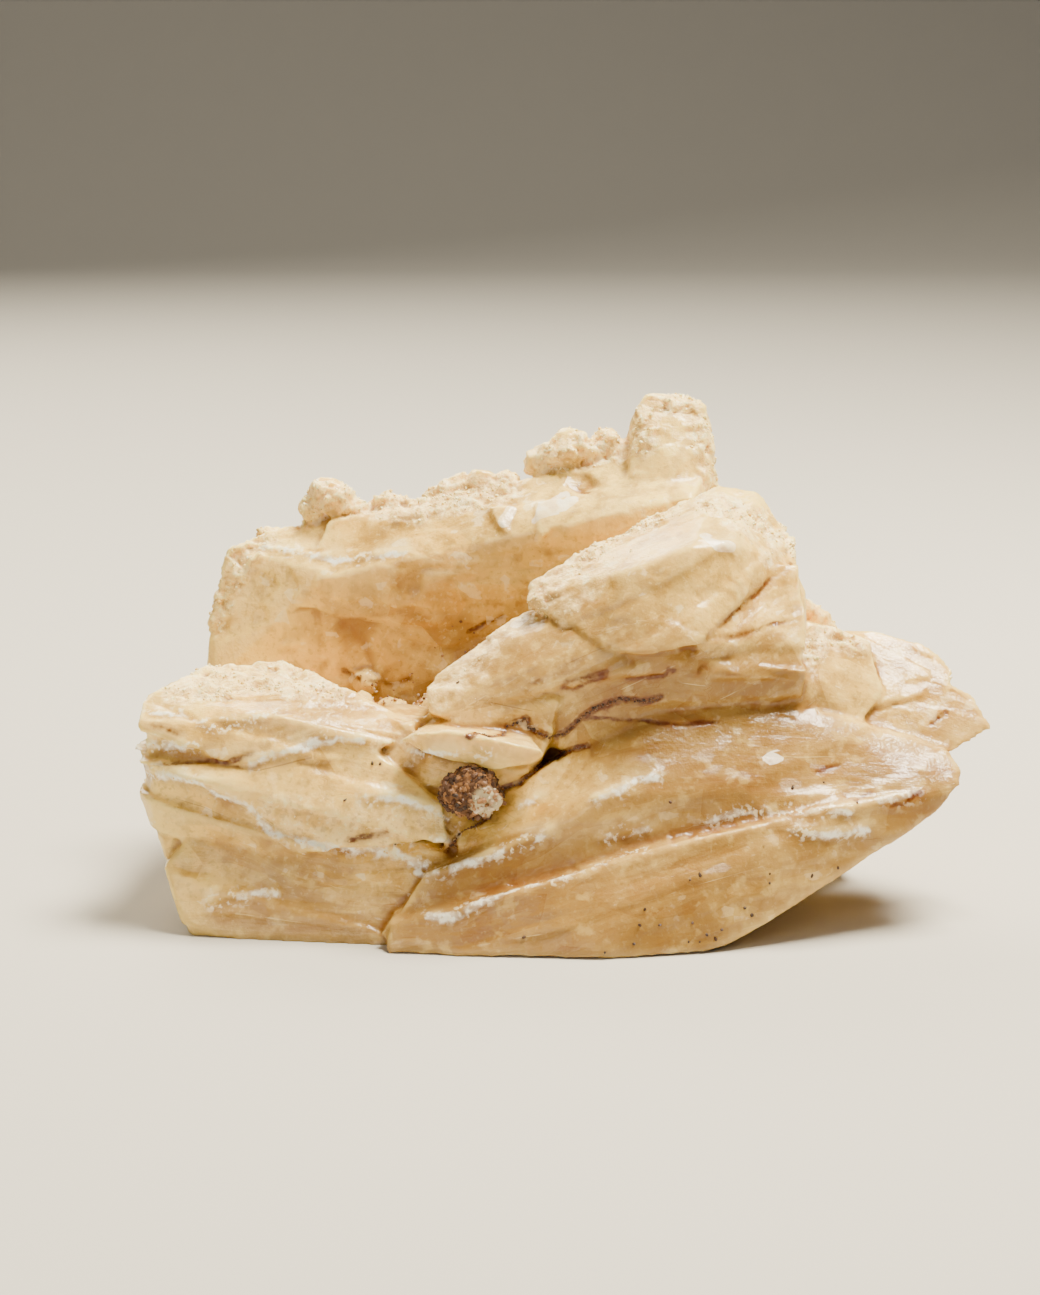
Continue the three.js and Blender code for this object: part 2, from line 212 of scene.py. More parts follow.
blades = merged_copy("crystal_cluster", "gypsum_blades")
with_modifier(blades, "REMESH", mode="VOXEL", voxel_size=VOXEL * MM)
skin = points_of(blades.data)
skin_edges = edges_of(blades.data)
surface = surface_of(blades.data)
print("remeshed to", len(skin), "points")

# %% [markdown]
# ## Noise
# Nature's unevenness is drawn as value noise: random numbers on a lattice, blended smoothly between its points.
# A few octaves of it, each half as large and half as strong as the last, make the roughness of broken crystal.
# Blender's own textures could displace a mesh too, but this noise can be drawn in each blade's own coordinates.

# %% Noise
SCRAMBLERS = (374761393, 668265263, 2246822519, 3266489917, 1274126177)
KEPT_BITS = 0xFFFFFF
OCTAVES_REACH = 1.4


def eased(value, start, end):
    """0 at start, 1 at end, and a smooth climb between them."""
    part = np.clip((value - start) / (end - start), 0, 1)
    return part * part * (3 - 2 * part)


def hashed(cells, seed):
    """A random number from -1 to 1 for each whole-numbered cell, made by scrambling the bits of its numbers."""
    by_x, by_y, by_z, by_seed, by_all = SCRAMBLERS
    mixed = cells[:, 0] * by_x + cells[:, 1] * by_y + cells[:, 2] * by_z + seed * by_seed
    mixed = (mixed ^ (mixed >> 13)) * by_all
    mixed = (mixed ^ (mixed >> 16)) & KEPT_BITS
    return mixed / (KEPT_BITS // 2) - 1


def lattice_noise(points, size, seed):
    place = points / size
    cell = np.floor(place).astype(np.int64)
    part = eased(place - cell, 0, 1)
    total = np.zeros(len(points))
    for corner in np.ndindex(2, 2, 2):
        share = np.prod(np.where(corner, part, 1 - part), axis=1)
        total += share * hashed(cell + corner, seed)
    return total


def rough_noise(points, size, seed, octaves=3):
    """Noise from about -1 to 1 whose largest lumps are `size` millimetres wide."""
    total = np.zeros(len(points))
    for octave in range(octaves):
        total += lattice_noise(points, np.array(size) / 2**octave, seed + octave) / 2**octave
    return total / OCTAVES_REACH


def patchy(points, size, seed, start, end, octaves=3):
    """Patches: 0 where the noise is under `start`, 1 where it is over `end`."""
    return eased(rough_noise(points, size, seed, octaves), start, end)


# %% Flakes
FLAKE_SCATTER, FLAKE_LEAN = 0.45, 0.8


def flakes(points, size, seed):
    """Straight-edged flakes `size` wide. Each stands at its own height, from about -1 to 1, and leans its own way."""
    place = points[:, :2] / size
    layer = np.floor(points[:, 2]).astype(np.int64)
    cell = np.floor(place).astype(np.int64)
    closest, height = np.full(len(points), np.inf), np.zeros(len(points))
    for step in np.ndindex(3, 3):
        key = np.column_stack([cell + step - 1, layer])
        aside = np.column_stack([hashed(key, seed), hashed(key, seed + 1)])
        middle = key[:, :2] + 0.5 + FLAKE_SCATTER * aside
        away = place - middle
        distance = (away**2).sum(1)
        lean = hashed(key, seed + 3) * away[:, 0] + hashed(key, seed + 4) * away[:, 1]
        height = np.where(distance < closest, hashed(key, seed + 2) + FLAKE_LEAN * lean, height)
        closest = np.minimum(closest, distance)
    return height


sample = rough_noise(np.linspace(low, high, 1000), 5.0, seed=1)
print("noise across the box, from", sample.min().round(2), "to", sample.max().round(2))

# %% [markdown]
# ## Marks that run over the surface
# Crests are the snowy lines where a sheet ends, brightened further with painted sparkle. Cracks are stained with
# rust, and the widest three hold sand. Rims have a crust, some faces are mottled with frost, and a few chips of fresh
# cleavage are painted with white glints. All these marks could be painted as an image, but such a painting is tied to
# one mesh and its unfolding. Here each is a line on the rose, given as a short list of places in the camera's view. A
# ray from the camera through each place finds the point that it marks. The crumbled rims are also given as places on
# the table, so that their crust goes round to the back.

# %% Carry marks onto the surface
CAST_STEP = 5.0
LONGEST_JOIN = 3.0
FARTHEST = 6.0
DRIFT_SIZE, DRIFT_SEEDS = 4.0, (81, 84, 87)


def cast(line):
    """The points of the surface under a line of places in the view, every few pixels along it."""
    found = []
    for (u0, v0), (u1, v1) in zip(line, line[1:]):
        steps = max(1, round(math.hypot(u1 - u0, v1 - v0) / CAST_STEP))
        for step in range(steps + 1):
            place = (u0 + (u1 - u0) * step / steps, v0 + (v1 - v0) * step / steps)
            hit = surface.ray_cast(Vector(eye), Vector(sight(*place)))[0]
            if hit is not None:
                found.append(hit)
    return np.array(found)


def drift(points):
    """Which way a mark wanders at each point."""
    return np.stack([rough_noise(points, DRIFT_SIZE, seed) for seed in DRIFT_SEEDS], axis=1)


def distance_to(points, paths, wander):
    """How far each point is from the nearest path, up to FARTHEST. The paths wander by `wander`."""
    best = np.full(len(points), FARTHEST)
    points = points + wander * drift(points)
    for path in paths:
        inside = np.all((points > path.min(0) - FARTHEST) & (points < path.max(0) + FARTHEST), axis=1)
        chosen = points[inside]
        nearest = best[inside]
        for start, end in zip(path, path[1:]):
            along = end - start
            length = along @ along
            if 0 < length < LONGEST_JOIN**2:
                share = np.clip((chosen - start) @ along / length, 0, 1)[:, None]
                nearest = np.minimum(nearest, np.linalg.norm(chosen - start - share * along, axis=1))
        best[inside] = nearest
    return best


# %% Crests
CRESTS = [
    [
        (143, 771), (177, 777), (203, 785), (230, 797), (247, 805), (260, 820), (273, 833), (297, 840),
        (343, 848), (393, 853),
    ],
    [(393, 853), (413, 862), (427, 868)],
    [(393, 853), (417, 845), (447, 840)],
    [(137, 747), (157, 748), (173, 747), (193, 748)],
    [(150, 712), (180, 712), (197, 718), (213, 725), (237, 723), (257, 717), (283, 710)],
    [(253, 767), (273, 758), (297, 752), (320, 743), (343, 739), (363, 740)],
    [(413, 750), (437, 752), (463, 755), (490, 757)],
    [(363, 797), (387, 800), (407, 803), (430, 810), (447, 817)],
    [(420, 875), (447, 872), (467, 865), (490, 857), (507, 848), (530, 840), (547, 837)],
    [(430, 915), (450, 918), (467, 910), (490, 897), (520, 885), (573, 870), (620, 853), (640, 847)],
    [(520, 807), (537, 798)],
    [(597, 803), (617, 793), (640, 780), (660, 777)],
    [(607, 840), (627, 833), (647, 830)],
    [(690, 833), (707, 825), (723, 817), (747, 812), (797, 813), (823, 810), (850, 813)],
    [(793, 833), (840, 833), (867, 830)],
    [(883, 800), (920, 793)],
    [(210, 905), (240, 895), (275, 893)],
    [(262, 545), (290, 552), (320, 557), (349, 561), (380, 558), (404, 555)],
]  # fmt: skip
print("crests:", len(CRESTS))

# %% Cracks, the three widest first
CRACKS = [
    [(472, 735), (480, 732), (490, 737), (500, 733), (510, 725), (527, 718), (530, 725), (540, 732), (550, 737)],
    [(550, 737), (563, 732), (580, 718), (597, 707), (622, 698), (640, 702), (663, 697)],
    [(587, 747), (563, 755), (556, 762), (544, 762), (520, 783), (503, 787), (487, 817), (460, 832), (447, 850)],
    [(560, 688), (568, 680), (583, 677), (607, 672), (607, 677), (592, 680), (573, 689), (565, 689)],
    [(527, 692), (532, 685), (540, 683)],
    [(627, 679), (647, 677), (667, 676), (670, 670), (675, 672)],
    [(698, 673), (702, 667), (717, 671), (727, 675), (743, 673)],
    [(583, 720), (620, 718), (653, 721), (680, 721), (720, 719)],
    [(777, 716), (793, 717)],
    [(703, 640), (717, 637), (740, 635), (760, 630), (773, 625), (800, 618)],
    [(793, 563), (773, 578), (753, 595), (737, 608), (723, 623), (707, 637)],
    [(737, 608), (753, 608)],
    [(818, 773), (840, 763)],
    [(845, 800), (857, 803), (872, 793)],
    [(887, 805), (905, 802), (920, 792)],
    [(932, 725), (948, 713)],
    [(137, 720), (150, 723), (173, 732), (188, 735)],
    [(140, 768), (173, 763), (200, 762), (227, 765), (253, 755)],
    [(350, 842), (363, 838), (387, 833)],
    [(585, 480), (577, 490), (590, 492)],
    [(345, 671), (360, 679), (385, 683), (412, 677)],
    [(470, 633), (485, 624), (503, 617)],
]  # fmt: skip
print("cracks:", len(CRACKS))

# %% Crusts, frost and painted glints on fresh chips
CRUSTED = [
    [(530, 603), (545, 585), (575, 560), (600, 545), (640, 525), (690, 500)],
    [(690, 500), (735, 510), (780, 525), (795, 545)],
    [(150, 690), (190, 672), (240, 664), (300, 668), (330, 690)],
    [(180, 692), (240, 685), (300, 688)],
    [(200, 650), (220, 600), (236, 560), (254, 540)],
    [
        (258, 535), (300, 512), (322, 496), (345, 500), (380, 506), (420, 508), (460, 500), (500, 488),
        (540, 455), (620, 448),
    ],
    [(640, 440), (645, 412), (665, 400), (690, 402), (708, 430), (714, 480)],
    [(815, 645), (850, 642)],
]
MOTTLED = [
    [(440, 690), (470, 662), (500, 635), (522, 615)],
    [(560, 605), (585, 582), (615, 560)],
    [(275, 805), (300, 818), (340, 825), (390, 835), (435, 828)],
    [(398, 745), (408, 742)],
    [(735, 520), (768, 548)],
]
# Places where fresh cleavage chips catch the light, painted as white glints.
CHIP_GLINTS = [
    [(535, 520), (545, 500), (565, 495)],
    [(543, 512), (560, 508), (574, 498)],
    [(503, 520), (510, 508)],
    [(706, 536), (718, 544), (732, 546)],
    [(768, 758), (778, 755)],
    [(516, 626), (524, 620)],
]
RIMS = [
    [
        (-37, -6, 32), (-34.5, -5, 38), (-31, -4, 41), (-24, -5, 45.6), (-11, -6, 45.6), (-1, -6, 47.1),
        (7, -5, 52), (12, -5, 50.5),
    ],
    [(15, -4, 57), (22, -4, 57)],
    [(34, -15, 33), (37, -15, 31)],
]  # fmt: skip
RIM_POINTS = 12

crest_paths, crack_paths, crust_paths, mottle_paths, fresh_paths = (
    [path for path in map(cast, lines) if len(path)] for lines in (CRESTS, CRACKS, CRUSTED, MOTTLED, CHIP_GLINTS)
)
for rim in RIMS:
    ends = [on_table(*place) for place in rim]
    crust_paths += [np.linspace(start, end, RIM_POINTS) for start, end in zip(ends, ends[1:])]
print("marks carried:", len(crest_paths), "crests,", len(crack_paths), "cracks,", len(crust_paths), "crusts")

# %% [markdown]
# ## Which way the sheets lie
# Gypsum splits into sheets as flat as mica, and each blade has its own direction for them. One direction for all
# would look like the grain of a plank. A few anchors tell which blade a point belongs to, and near a joint two blades
# are blended. Each blade has its own coordinates, two along
# its sheets and one across them. The two front stacks are bent, so their sheets follow guides: lines in the view
# that run along a sheet, each with its height in the stack.

# %% Blades, each with the direction across its sheets and its anchors
BLADES = {
    "left stack": (
        (0.22, -0.06, 0.97),
        [(-30, -40, 6), (-32, -38, 18), (-30, -34, 26), (-14, -38, 12), (-38, -24, 18)],
    ),
    "middle": ((0.22, -0.06, 0.97), [(-15, -38, 22), (-3, -39, 22)]),
    "right stack": (
        (-0.3, -0.1, 0.95),
        [(0, -47, 5), (18, -46, 8), (36, -41, 12), (8, -40, 18), (26, -37, 22), (44, -35, 18), (16, -36, 27)],
    ),
    "upper right": ((-0.42, -0.12, 0.9), [(-6, -35, 30), (3, -35, 33), (14, -38, 31), (28, -36, 28), (30, -31, 34)]),
    "upper right, front": (
        (0.05, -0.93, 0.36),
        [(12, -33, 38), (14, -32, 42), (21, -34, 39), (29, -27, 42), (12, -25, 44)],
    ),
    "wall": (
        (0.08, -1, 0.12),
        [(-30, -9, 34), (-14, -9, 36), (4, -10, 42), (18, -8, 50), (-24, -4, 42), (0, -5, 45)],
    ),
    "fins": ((0.28, -0.1, 0.95), [(40, -28, 26), (50, -28, 24), (36, -20, 30)]),
    "back, left": ((-0.1, 0.92, 0.37), [(-14, 6, 22)]),
    "back, right": ((0.2, 0.94, 0.28), [(16, 5, 22)]),
    "back, low": ((0, 0.47, 0.88), [(0, 12, 5), (-24, 8, 5), (20, 8, 5)]),
    "back, small": ((-0.3, 0.77, 0.56), [(8, 11, 14)]),
    "left side": ((0.94, -0.16, 0.31), [(-38, -16, 10)]),
    "right side": ((0.68, 0.61, 0.41), [(30, -4, 12), (34, -12, 16)]),
}
print("blades:", len(BLADES))

# %% Guides for the bent stacks
GUIDES = {
    "left stack": [
        (-14, [(192, 930), (280, 933), (370, 938)]),
        (0, [(143, 771), (200, 785), (250, 808), (304, 845), (354, 855), (446, 843)]),
        (5, [(138, 745), (225, 765), (258, 765), (315, 744), (363, 739), (400, 745)]),
        (9, [(140, 705), (177, 712), (249, 721), (281, 716), (340, 712), (390, 738)]),
        (13, [(150, 690), (200, 672), (300, 668), (380, 700)]),
    ],
    "right stack": [
        (-8, [(385, 955), (460, 957), (546, 943), (637, 915), (746, 884), (835, 872), (890, 860)]),
        (0, [(392, 917), (460, 915), (546, 873), (637, 845), (746, 814), (835, 806), (905, 800), (975, 785)]),
        (5, [(418, 876), (473, 860), (541, 838), (603, 795), (650, 780), (740, 768), (830, 770), (975, 772)]),
        (10, [(447, 850), (506, 792), (544, 766), (585, 716), (664, 700), (756, 716), (849, 730), (957, 768)]),
        (14, [(520, 716), (560, 692), (606, 677), (668, 672), (760, 676), (800, 690)]),
    ],
}  # fmt: skip
LEAST_GAP = 0.3


def cast_rightwards(line):
    """The points under a line in the view, from left to right."""
    points = cast(line)
    return points[np.argsort(points[:, 0])]


guides = {blade: [(level, cast_rightwards(line)) for level, line in lines] for blade, lines in GUIDES.items()}
print("bent blades:", list(guides))


def sheet_height(points, lines, tilt):
    """The height in a bent stack, from the guides below and above each point."""
    place = points[:, 2] - tilt * points[:, 1]
    rows = np.array([np.interp(points[:, 0], path[:, 0], path[:, 2] - tilt * path[:, 1]) for _, path in lines])
    least = LEAST_GAP * np.arange(len(rows))[:, None]
    rows = np.maximum.accumulate(rows - least, axis=0) + least
    levels = [level for level, _ in lines]
    height = levels[0] + np.minimum(place - rows[0], 0) + np.maximum(place - rows[-1], 0)
    for i in range(len(rows) - 1):
        height += (levels[i + 1] - levels[i]) * np.clip((place - rows[i]) / (rows[i + 1] - rows[i]), 0, 1)
    return height


# %% Coordinates in each blade
JOINT_BLEND, LEAST_SHARE = 1.2, 0.03
UPRIGHT = 0.9
SHEET_WAVE, SHEET_WAVE_SIZE = 0.8, 16.0


def blade_coordinates(points, blade):
    """Each point's place in a blade's own coordinates: two along its sheets and the third across them."""
    across = np.array(BLADES[blade][0]) / np.linalg.norm(BLADES[blade][0])
    along = np.cross((0.0, 0.0, 1.0) if abs(across[2]) < UPRIGHT else (0.0, 1.0, 0.0), across)
    along /= np.linalg.norm(along)
    turned = points @ np.stack([along, np.cross(across, along), across]).T
    if blade in guides:
        turned[:, 2] = sheet_height(points, guides[blade], -across[1] / across[2])
    turned[:, 2] += SHEET_WAVE * rough_noise(points, SHEET_WAVE_SIZE, seed=5, octaves=2)
    return turned, across


def blade_shares(points):
    """How much of each point belongs to each blade."""
    nearest = np.empty((len(BLADES), len(points)))
    for row, (_, anchors) in zip(nearest, BLADES.values()):
        squares = [((points - on_table(*anchor)) ** 2).sum(1) for anchor in anchors]
        row[:] = np.sqrt(np.min(squares, axis=0))
    weights = np.exp(-(nearest - nearest.min(0)) / JOINT_BLEND)
    weights[weights < LEAST_SHARE] = 0
    return weights / weights.sum(0)


def over_blades(points, normals, draw):
    """A value drawn in every blade's own coordinates and blended where blades meet.

    `draw` is given those coordinates, and how squarely the surface cuts across the sheets, from 0 to 1.
    """
    total = np.zeros(len(points))
    for share, blade in zip(blade_shares(points), BLADES):
        inside = share > 0
        turned, across = blade_coordinates(points[inside], blade)
        cutting = 1 - (normals[inside] @ across) ** 2
        total[inside] += share[inside] * draw(turned, cutting)
    return total


between = (blade_shares(skin[::100]) > 0).sum(0) > 1
print(f"{between.mean():.0%} of the skin lies between two blades")

# %% [markdown]
# ## Sculpting
# First the facets are relaxed a little, and more in the right stack, whose blades are worn smooth. Then come the
# sheets. Each is pushed in or out as a whole, more here and less there along its length. A face that cuts across the
# sheets shows these steps. A face along them shows low terraces instead, where sheet after sheet has flaked off.

# %% Relief of the sheets
# Sheets: how thick, how far they stand out, how long before that changes, and a seed.
SHEETS = [(3.1, 0.2, 13.0, 21), (1.15, 0.1, 8.0, 22)]
# Swells and ripples: how far they stand out, their size along, along and across the sheets, and a seed.
SWELLS = [(0.18, (22.0, 22.0, 4.6), 31), (0.07, (6.0, 6.0, 2.0), 35)]
# Crust: how wide, thick and high its scales are, and a seed.
CRUST = [(2.6, 1.9, 0.3, 25), (1.2, 1.1, 0.2, 27)]
TERRACE, TERRACE_SIZE, TERRACES = 0.7, (19.0, 9.0, 7.0), 3.4
SHEET_SLOPE, TERRACE_SLOPE = 0.8, 0.84
LATTICE_OFFSET = 0.37


def sheet_steps(turned, thickness, length, seed):
    """How far the sheet at each point stands in or out, with a short slope between sheets."""
    place = turned[:, 2] / thickness
    index = np.floor(place)
    part = eased(place - index, SHEET_SLOPE, 1.0)

    def stands_out(number):
        return lattice_noise(np.column_stack([turned[:, :2] / length, LATTICE_OFFSET + number]), 1.0, seed)

    return stands_out(index) * (1 - part) + stands_out(index + 1) * part


def terraced(height, steps):
    """A smooth height cut into level terraces with steep, worn edges."""
    index = np.floor(height * steps)
    return (index + eased(height * steps - index, TERRACE_SLOPE, 1.0)) / steps


def relief(turned, cutting):
    """Stepped edges where the surface cuts across the sheets, and terraces where it lies along them."""
    edges = np.zeros(len(turned))
    for height, size, seed in SWELLS:
        edges += height * rough_noise(turned, size, seed, octaves=2)
    for thickness, height, length, seed in SHEETS:
        edges += height * sheet_steps(turned, thickness, length, seed)
    return cutting * edges + (1 - cutting) * TERRACE * terraced(rough_noise(turned, TERRACE_SIZE, seed=37), TERRACES)


def crust(turned, cutting):
    """Broken scales of two sizes, one on another."""
    return sum(height * flakes(turned / (1, 1, thick), size, seed) for size, thick, height, seed in CRUST)


def cut_across(turned, cutting):
    return cutting


print("sheets", [sheet[0] for sheet in SHEETS], "mm thick, terraces up to", TERRACE, "mm")


# %% How strongly each mark shows
# For each mark, how far it wanders and how wide it is.
CRUST_WANDER, CRUST_WIDTH = 1.2, 2.4
MOTTLE_WANDER, MOTTLE_WIDTH = 1.6, 3.0
CREST_WANDER, CREST_WIDTH, CREST_UNEVEN = 0.5, 0.6325, 0.33
CRACK_WANDER, CRACK_WIDTH = 0.45, 0.25
EDGE_OUTER, EDGE_INNER = 1.5, 0.4
LEDGE_PROBE, LEDGE_REACH = 0.5, 1.3
MOTTLED_FROST, BACK_FROST = 0.45, 0.6
BACK_BEGINS, BACK_FULL = -6.0, 4.0

CRUST_PATCHES = {"size": 5.0, "seed": 97, "start": -0.75, "end": -0.15}
SUGAR_PATCHES = {"size": 8.0, "seed": 99, "start": 0.1, "end": 0.45, "octaves": 4}
CREST_PATCHES = {"size": 5.0, "seed": 91, "start": -0.75, "end": 0.0}
CRACK_PATCHES = {"size": 4.0, "seed": 95, "start": -0.9, "end": -0.35}


def near(points, paths, wander, width):
    """1 on the paths, and 0 from one and a half widths away."""
    return eased(distance_to(points, paths, wander), EDGE_OUTER * width, EDGE_INNER * width)


def line_of(points, paths, wander, width, patches):
    """1 on the middle of each line and fading beside it, in patches along it."""
    line = np.exp(-((distance_to(points, paths, wander) / width) ** 2))
    return line * patchy(points, **patches)


def backward(points):
    """1 on the far side of the rose and 0 on its near side."""
    return eased(points[:, 1] - ORIGIN[1], BACK_BEGINS, BACK_FULL)


def marks_at(points):
    """Crust, frost, crest and crack at each point, from 0 to 1."""
    crusted = near(points, crust_paths, CRUST_WANDER, CRUST_WIDTH) * patchy(points, **CRUST_PATCHES)
    mottled = MOTTLED_FROST * near(points, mottle_paths, MOTTLE_WANDER, MOTTLE_WIDTH)
    sugared = BACK_FROST * backward(points) * patchy(points, **SUGAR_PATCHES)
    frosted = np.maximum.reduce([crusted, mottled, sugared])
    crest_width = CREST_WIDTH + CREST_UNEVEN * rough_noise(points, 3.0, seed=93, octaves=2)
    crest = line_of(points, crest_paths, CREST_WANDER, crest_width, CREST_PATCHES)
    crack = line_of(points, crack_paths, CRACK_WANDER, CRACK_WIDTH, CRACK_PATCHES)
    return crusted, frosted, crest, crack


def from_crest(points):
    return distance_to(points, crest_paths, CREST_WANDER)


def ledge_side(points):
    """Above a crest up to 1, below it down to -1, and 0 far from any."""
    up = np.array([0, 0, LEDGE_PROBE])
    above = from_crest(points + up) - from_crest(points - up)
    return above * np.exp(-from_crest(points) / LEDGE_REACH) * patchy(points, **CREST_PATCHES)


print("frost on the near side up to", MOTTLED_FROST, "and on the far side up to", BACK_FROST)


# %% Sculpt
SOFTEN, SOFTEN_MORE = 1, 10
LEDGE_HEIGHT, CREST_RISE, CREST_LUMPS = 0.28, 0.14, 1.5
FROST_RISE, CRACK_DEPTH = 0.1, 0.15
LUMP_AT, LUMP_KEEP = on_table(-5.6, -43.4, 17.4), (4.6, 6.5)
BOX_INSET = 0.01


def within_box(points):
    """No point may leave the frame's box."""
    return np.clip(points, low + BOX_INSET, high - BOX_INSET)


crisp = relaxed(skin, skin_edges, SOFTEN)
worn = relaxed(crisp, skin_edges, SOFTEN_MORE)
right_share = blade_shares(crisp)[list(BLADES).index("right stack")][:, None]
soft = crisp + (worn - crisp) * right_share
move_points(blades.data, soft)
normals = normals_of(blades.data)

crusted, frosted, crest, crack = marks_at(soft)
ledge = LEDGE_HEIGHT * ledge_side(soft)
ledge += CREST_RISE * crest * (1 + CREST_LUMPS * rough_noise(soft, 1.2, seed=51, octaves=2))
grit = crusted * over_blades(soft, normals, crust)
grit += FROST_RISE * frosted * rough_noise(soft, 1.4, seed=61, octaves=2)

shift = over_blades(soft, normals, relief) + grit + ledge - CRACK_DEPTH * crack
shift *= eased(np.linalg.norm(soft - LUMP_AT, axis=1), *LUMP_KEEP)
move_points(blades.data, within_box(soft + normals * shift[:, None]))
print("moved by", shift.min().round(2), "to", shift.max().round(2), "mm; mean", np.abs(shift).mean().round(3))

# %% [markdown]
# ## A lighter skin
# The even mesh spends as many triangles on a flat face as on a crumbled rim. A Decimate modifier merges them where
# the surface is flat, so all the relief stays. Both steps can leave a bubble of a few faces inside the stone, which
# nobody sees but a printer would trip over, so every closed shell but the largest is deleted.

# %% Find the shells of a mesh
MOST_TRIANGLES = 196000


def shells_of(mesh):
    """The points of each closed shell of a mesh, and the largest shell last."""
    neighbours = [[] for _ in mesh.vertices]
    for one, other in edges_of(mesh).tolist():
        neighbours[one].append(other)
        neighbours[other].append(one)
    unseen, shells = set(range(len(neighbours))), []
    while unseen:
        waiting = [unseen.pop()]
        shells.append(waiting[:])
        while waiting:
            for point in neighbours[waiting.pop()]:
                if point in unseen:
                    unseen.remove(point)
                    waiting.append(point)
                    shells[-1].append(point)
    return sorted(shells, key=len)


# %% Keep the skin light and whole
def remove_bubbles(mesh):
    """Deletes every closed shell but the largest, and says how many points went."""
    bubbles = sum(shells_of(mesh)[:-1], [])
    work = bmesh.new()
    work.from_mesh(mesh)
    work.verts.ensure_lookup_table()
    bmesh.ops.delete(work, geom=[work.verts[point] for point in bubbles], context="VERTS")
    work.to_mesh(mesh)
    work.free()
    return len(bubbles)


before = triangles_in(blades.data)
with_modifier(blades, "DECIMATE", ratio=min(1.0, MOST_TRIANGLES / before))
print(before, "triangles reduced to", triangles_in(blades.data))
print("points of bubbles removed:", remove_bubbles(blades.data))

# %% [markdown]
# ## What the material has to know
# The material draws colour in the same coordinates as the sculpting, so each point of the mesh carries them: its
# place in its blade, how frosted it is, how far the nearest crest, crack and chip painted with a glint are, and how
# deep in a crease it sits. Distances are stored rather than finished lines, because a distance stays smooth between
# points and the material can draw a sharp edge from it. The stain is the iron that water left, with painted shade and
# warm bounced light mixed in: strong low down, under overhangs and in the hollow, and faint on the powdery tops, which
# are painted lighter as if lit from above.

# %% Stain and painted shade anchors
# Stain and painted shade at each anchor: high where iron stained the stone and where shade falls, low on lit tops.
STAIN_AND_SHADE_ANCHORS = [
    (0.08, (-17, -15, 35)), (0.05, (-32, -13, 34)), (0.45, (-12, -12, 42)), (0.05, (19, -10, 54)),
    (0.15, (-9, -6, 46)),
    (0.85, (-13, -16, 27)), (0.6, (-17, -15, 31)), (0.38, (14, -34, 40)), (0.12, (20, -36, 37)), (0.0, (29, -28, 42)),
    (0.55, (30, -31, 36)), (0.8, (-6, -35, 30)), (0.8, (3, -35, 33)), (1.4, (14, -38, 31)), (1.2, (28, -36, 28)),
    (0.15, (42, -27, 30)), (0.6, (46, -27, 27)), (0.75, (52, -30, 23)), (0.5, (5, -38, 25)), (0.0, (-6, -44, 22)),
    (0.0, (-38, -32, 27)), (0.4, (-30, -38, 23)), (0.55, (-25, -40, 19)), (0.05, (-40, -39, 12)),
    (0.2, (-31, -42, 6)),
    (1.45, (-28, -44, 1)), (0.0, (-22, -43, 13)), (1.3, (-2, -50, 2)), (1.2, (10, -50, 4)), (0.65, (9, -48, 9)),
    (0.7, (32, -45, 11)), (0.78, (42, -42, 12)), (1.15, (50, -38, 16)), (1.25, (24, -38, 22)), (0.8, (21, -43, 17)),
    (0.0, (-5, -12, 40)), (0.0, (-26, -13, 30)),
]  # fmt: skip
STAIN_AND_SHADE_SPREAD, STAIN_AND_SHADE_EVERYWHERE = 5.5, 1e-4
STAIN_AND_SHADE_UNEVEN, BACK_UNEVEN, STAIN_AND_SHADE_PATCH = 0.08, 0.3, 9.0


def stain_and_shade_of(points):
    """The iron stain with painted shade, blended from the anchors around each point, and less even at the back."""
    total, weights = np.zeros(len(points)), np.zeros(len(points))
    for stain, place in STAIN_AND_SHADE_ANCHORS:
        squares = ((points - on_table(*place)) ** 2).sum(1)
        weight = np.exp(-squares / (2 * STAIN_AND_SHADE_SPREAD**2)) + STAIN_AND_SHADE_EVERYWHERE
        total += weight * stain
        weights += weight
    uneven = STAIN_AND_SHADE_UNEVEN + BACK_UNEVEN * backward(points)
    return total / weights + uneven * rough_noise(points, STAIN_AND_SHADE_PATCH, seed=71)


print("stain anchors:", len(STAIN_AND_SHADE_ANCHORS))


# %% Write the attributes
FILLED_CRACKS, FILLED_WIDER = 3, 0.25
CHIP_GLINT_WANDER = 0.3
CREASE_REACH = 30


def write_attribute(mesh, name, values):
    """One number or one place for each point of a mesh."""
    kind, slot = ("FLOAT", "value") if values.ndim == 1 else ("FLOAT_VECTOR", "vector")
    mesh.attributes.new(name, kind, "POINT").data.foreach_set(slot, values.astype(np.float32).ravel())


skin = points_of(blades.data)
skin_edges = edges_of(blades.data)
normals = normals_of(blades.data)
shares = blade_shares(skin)
layered = np.zeros_like(skin)
for number, blade in enumerate(BLADES):
    owned = shares.argmax(0) == number
    layered[owned] = blade_coordinates(skin[owned], blade)[0]
crusted, frosted, _, _ = marks_at(skin)
cracked = distance_to(skin, crack_paths, CRACK_WANDER)
filled = distance_to(skin, crack_paths[:FILLED_CRACKS], CRACK_WANDER) - FILLED_WIDER

knowledge = {
    "sheets": layered,
    "cutting": over_blades(skin, normals, cut_across),
    "frost": frosted,
    "ledge": ledge_side(skin),
    "crest_mm": from_crest(skin),
    "crack_mm": np.minimum(cracked, filled),
    "fresh_mm": distance_to(skin, fresh_paths, CHIP_GLINT_WANDER),
    "crease_mm": ((relaxed(skin, skin_edges, CREASE_REACH) - skin) * normals).sum(1),
    "stain": stain_and_shade_of(skin),
}
for name, values in knowledge.items():
    write_attribute(blades.data, name, values)
    print(name, "from", values.min().round(2), "to", values.max().round(2))
blades.data.shade_smooth()


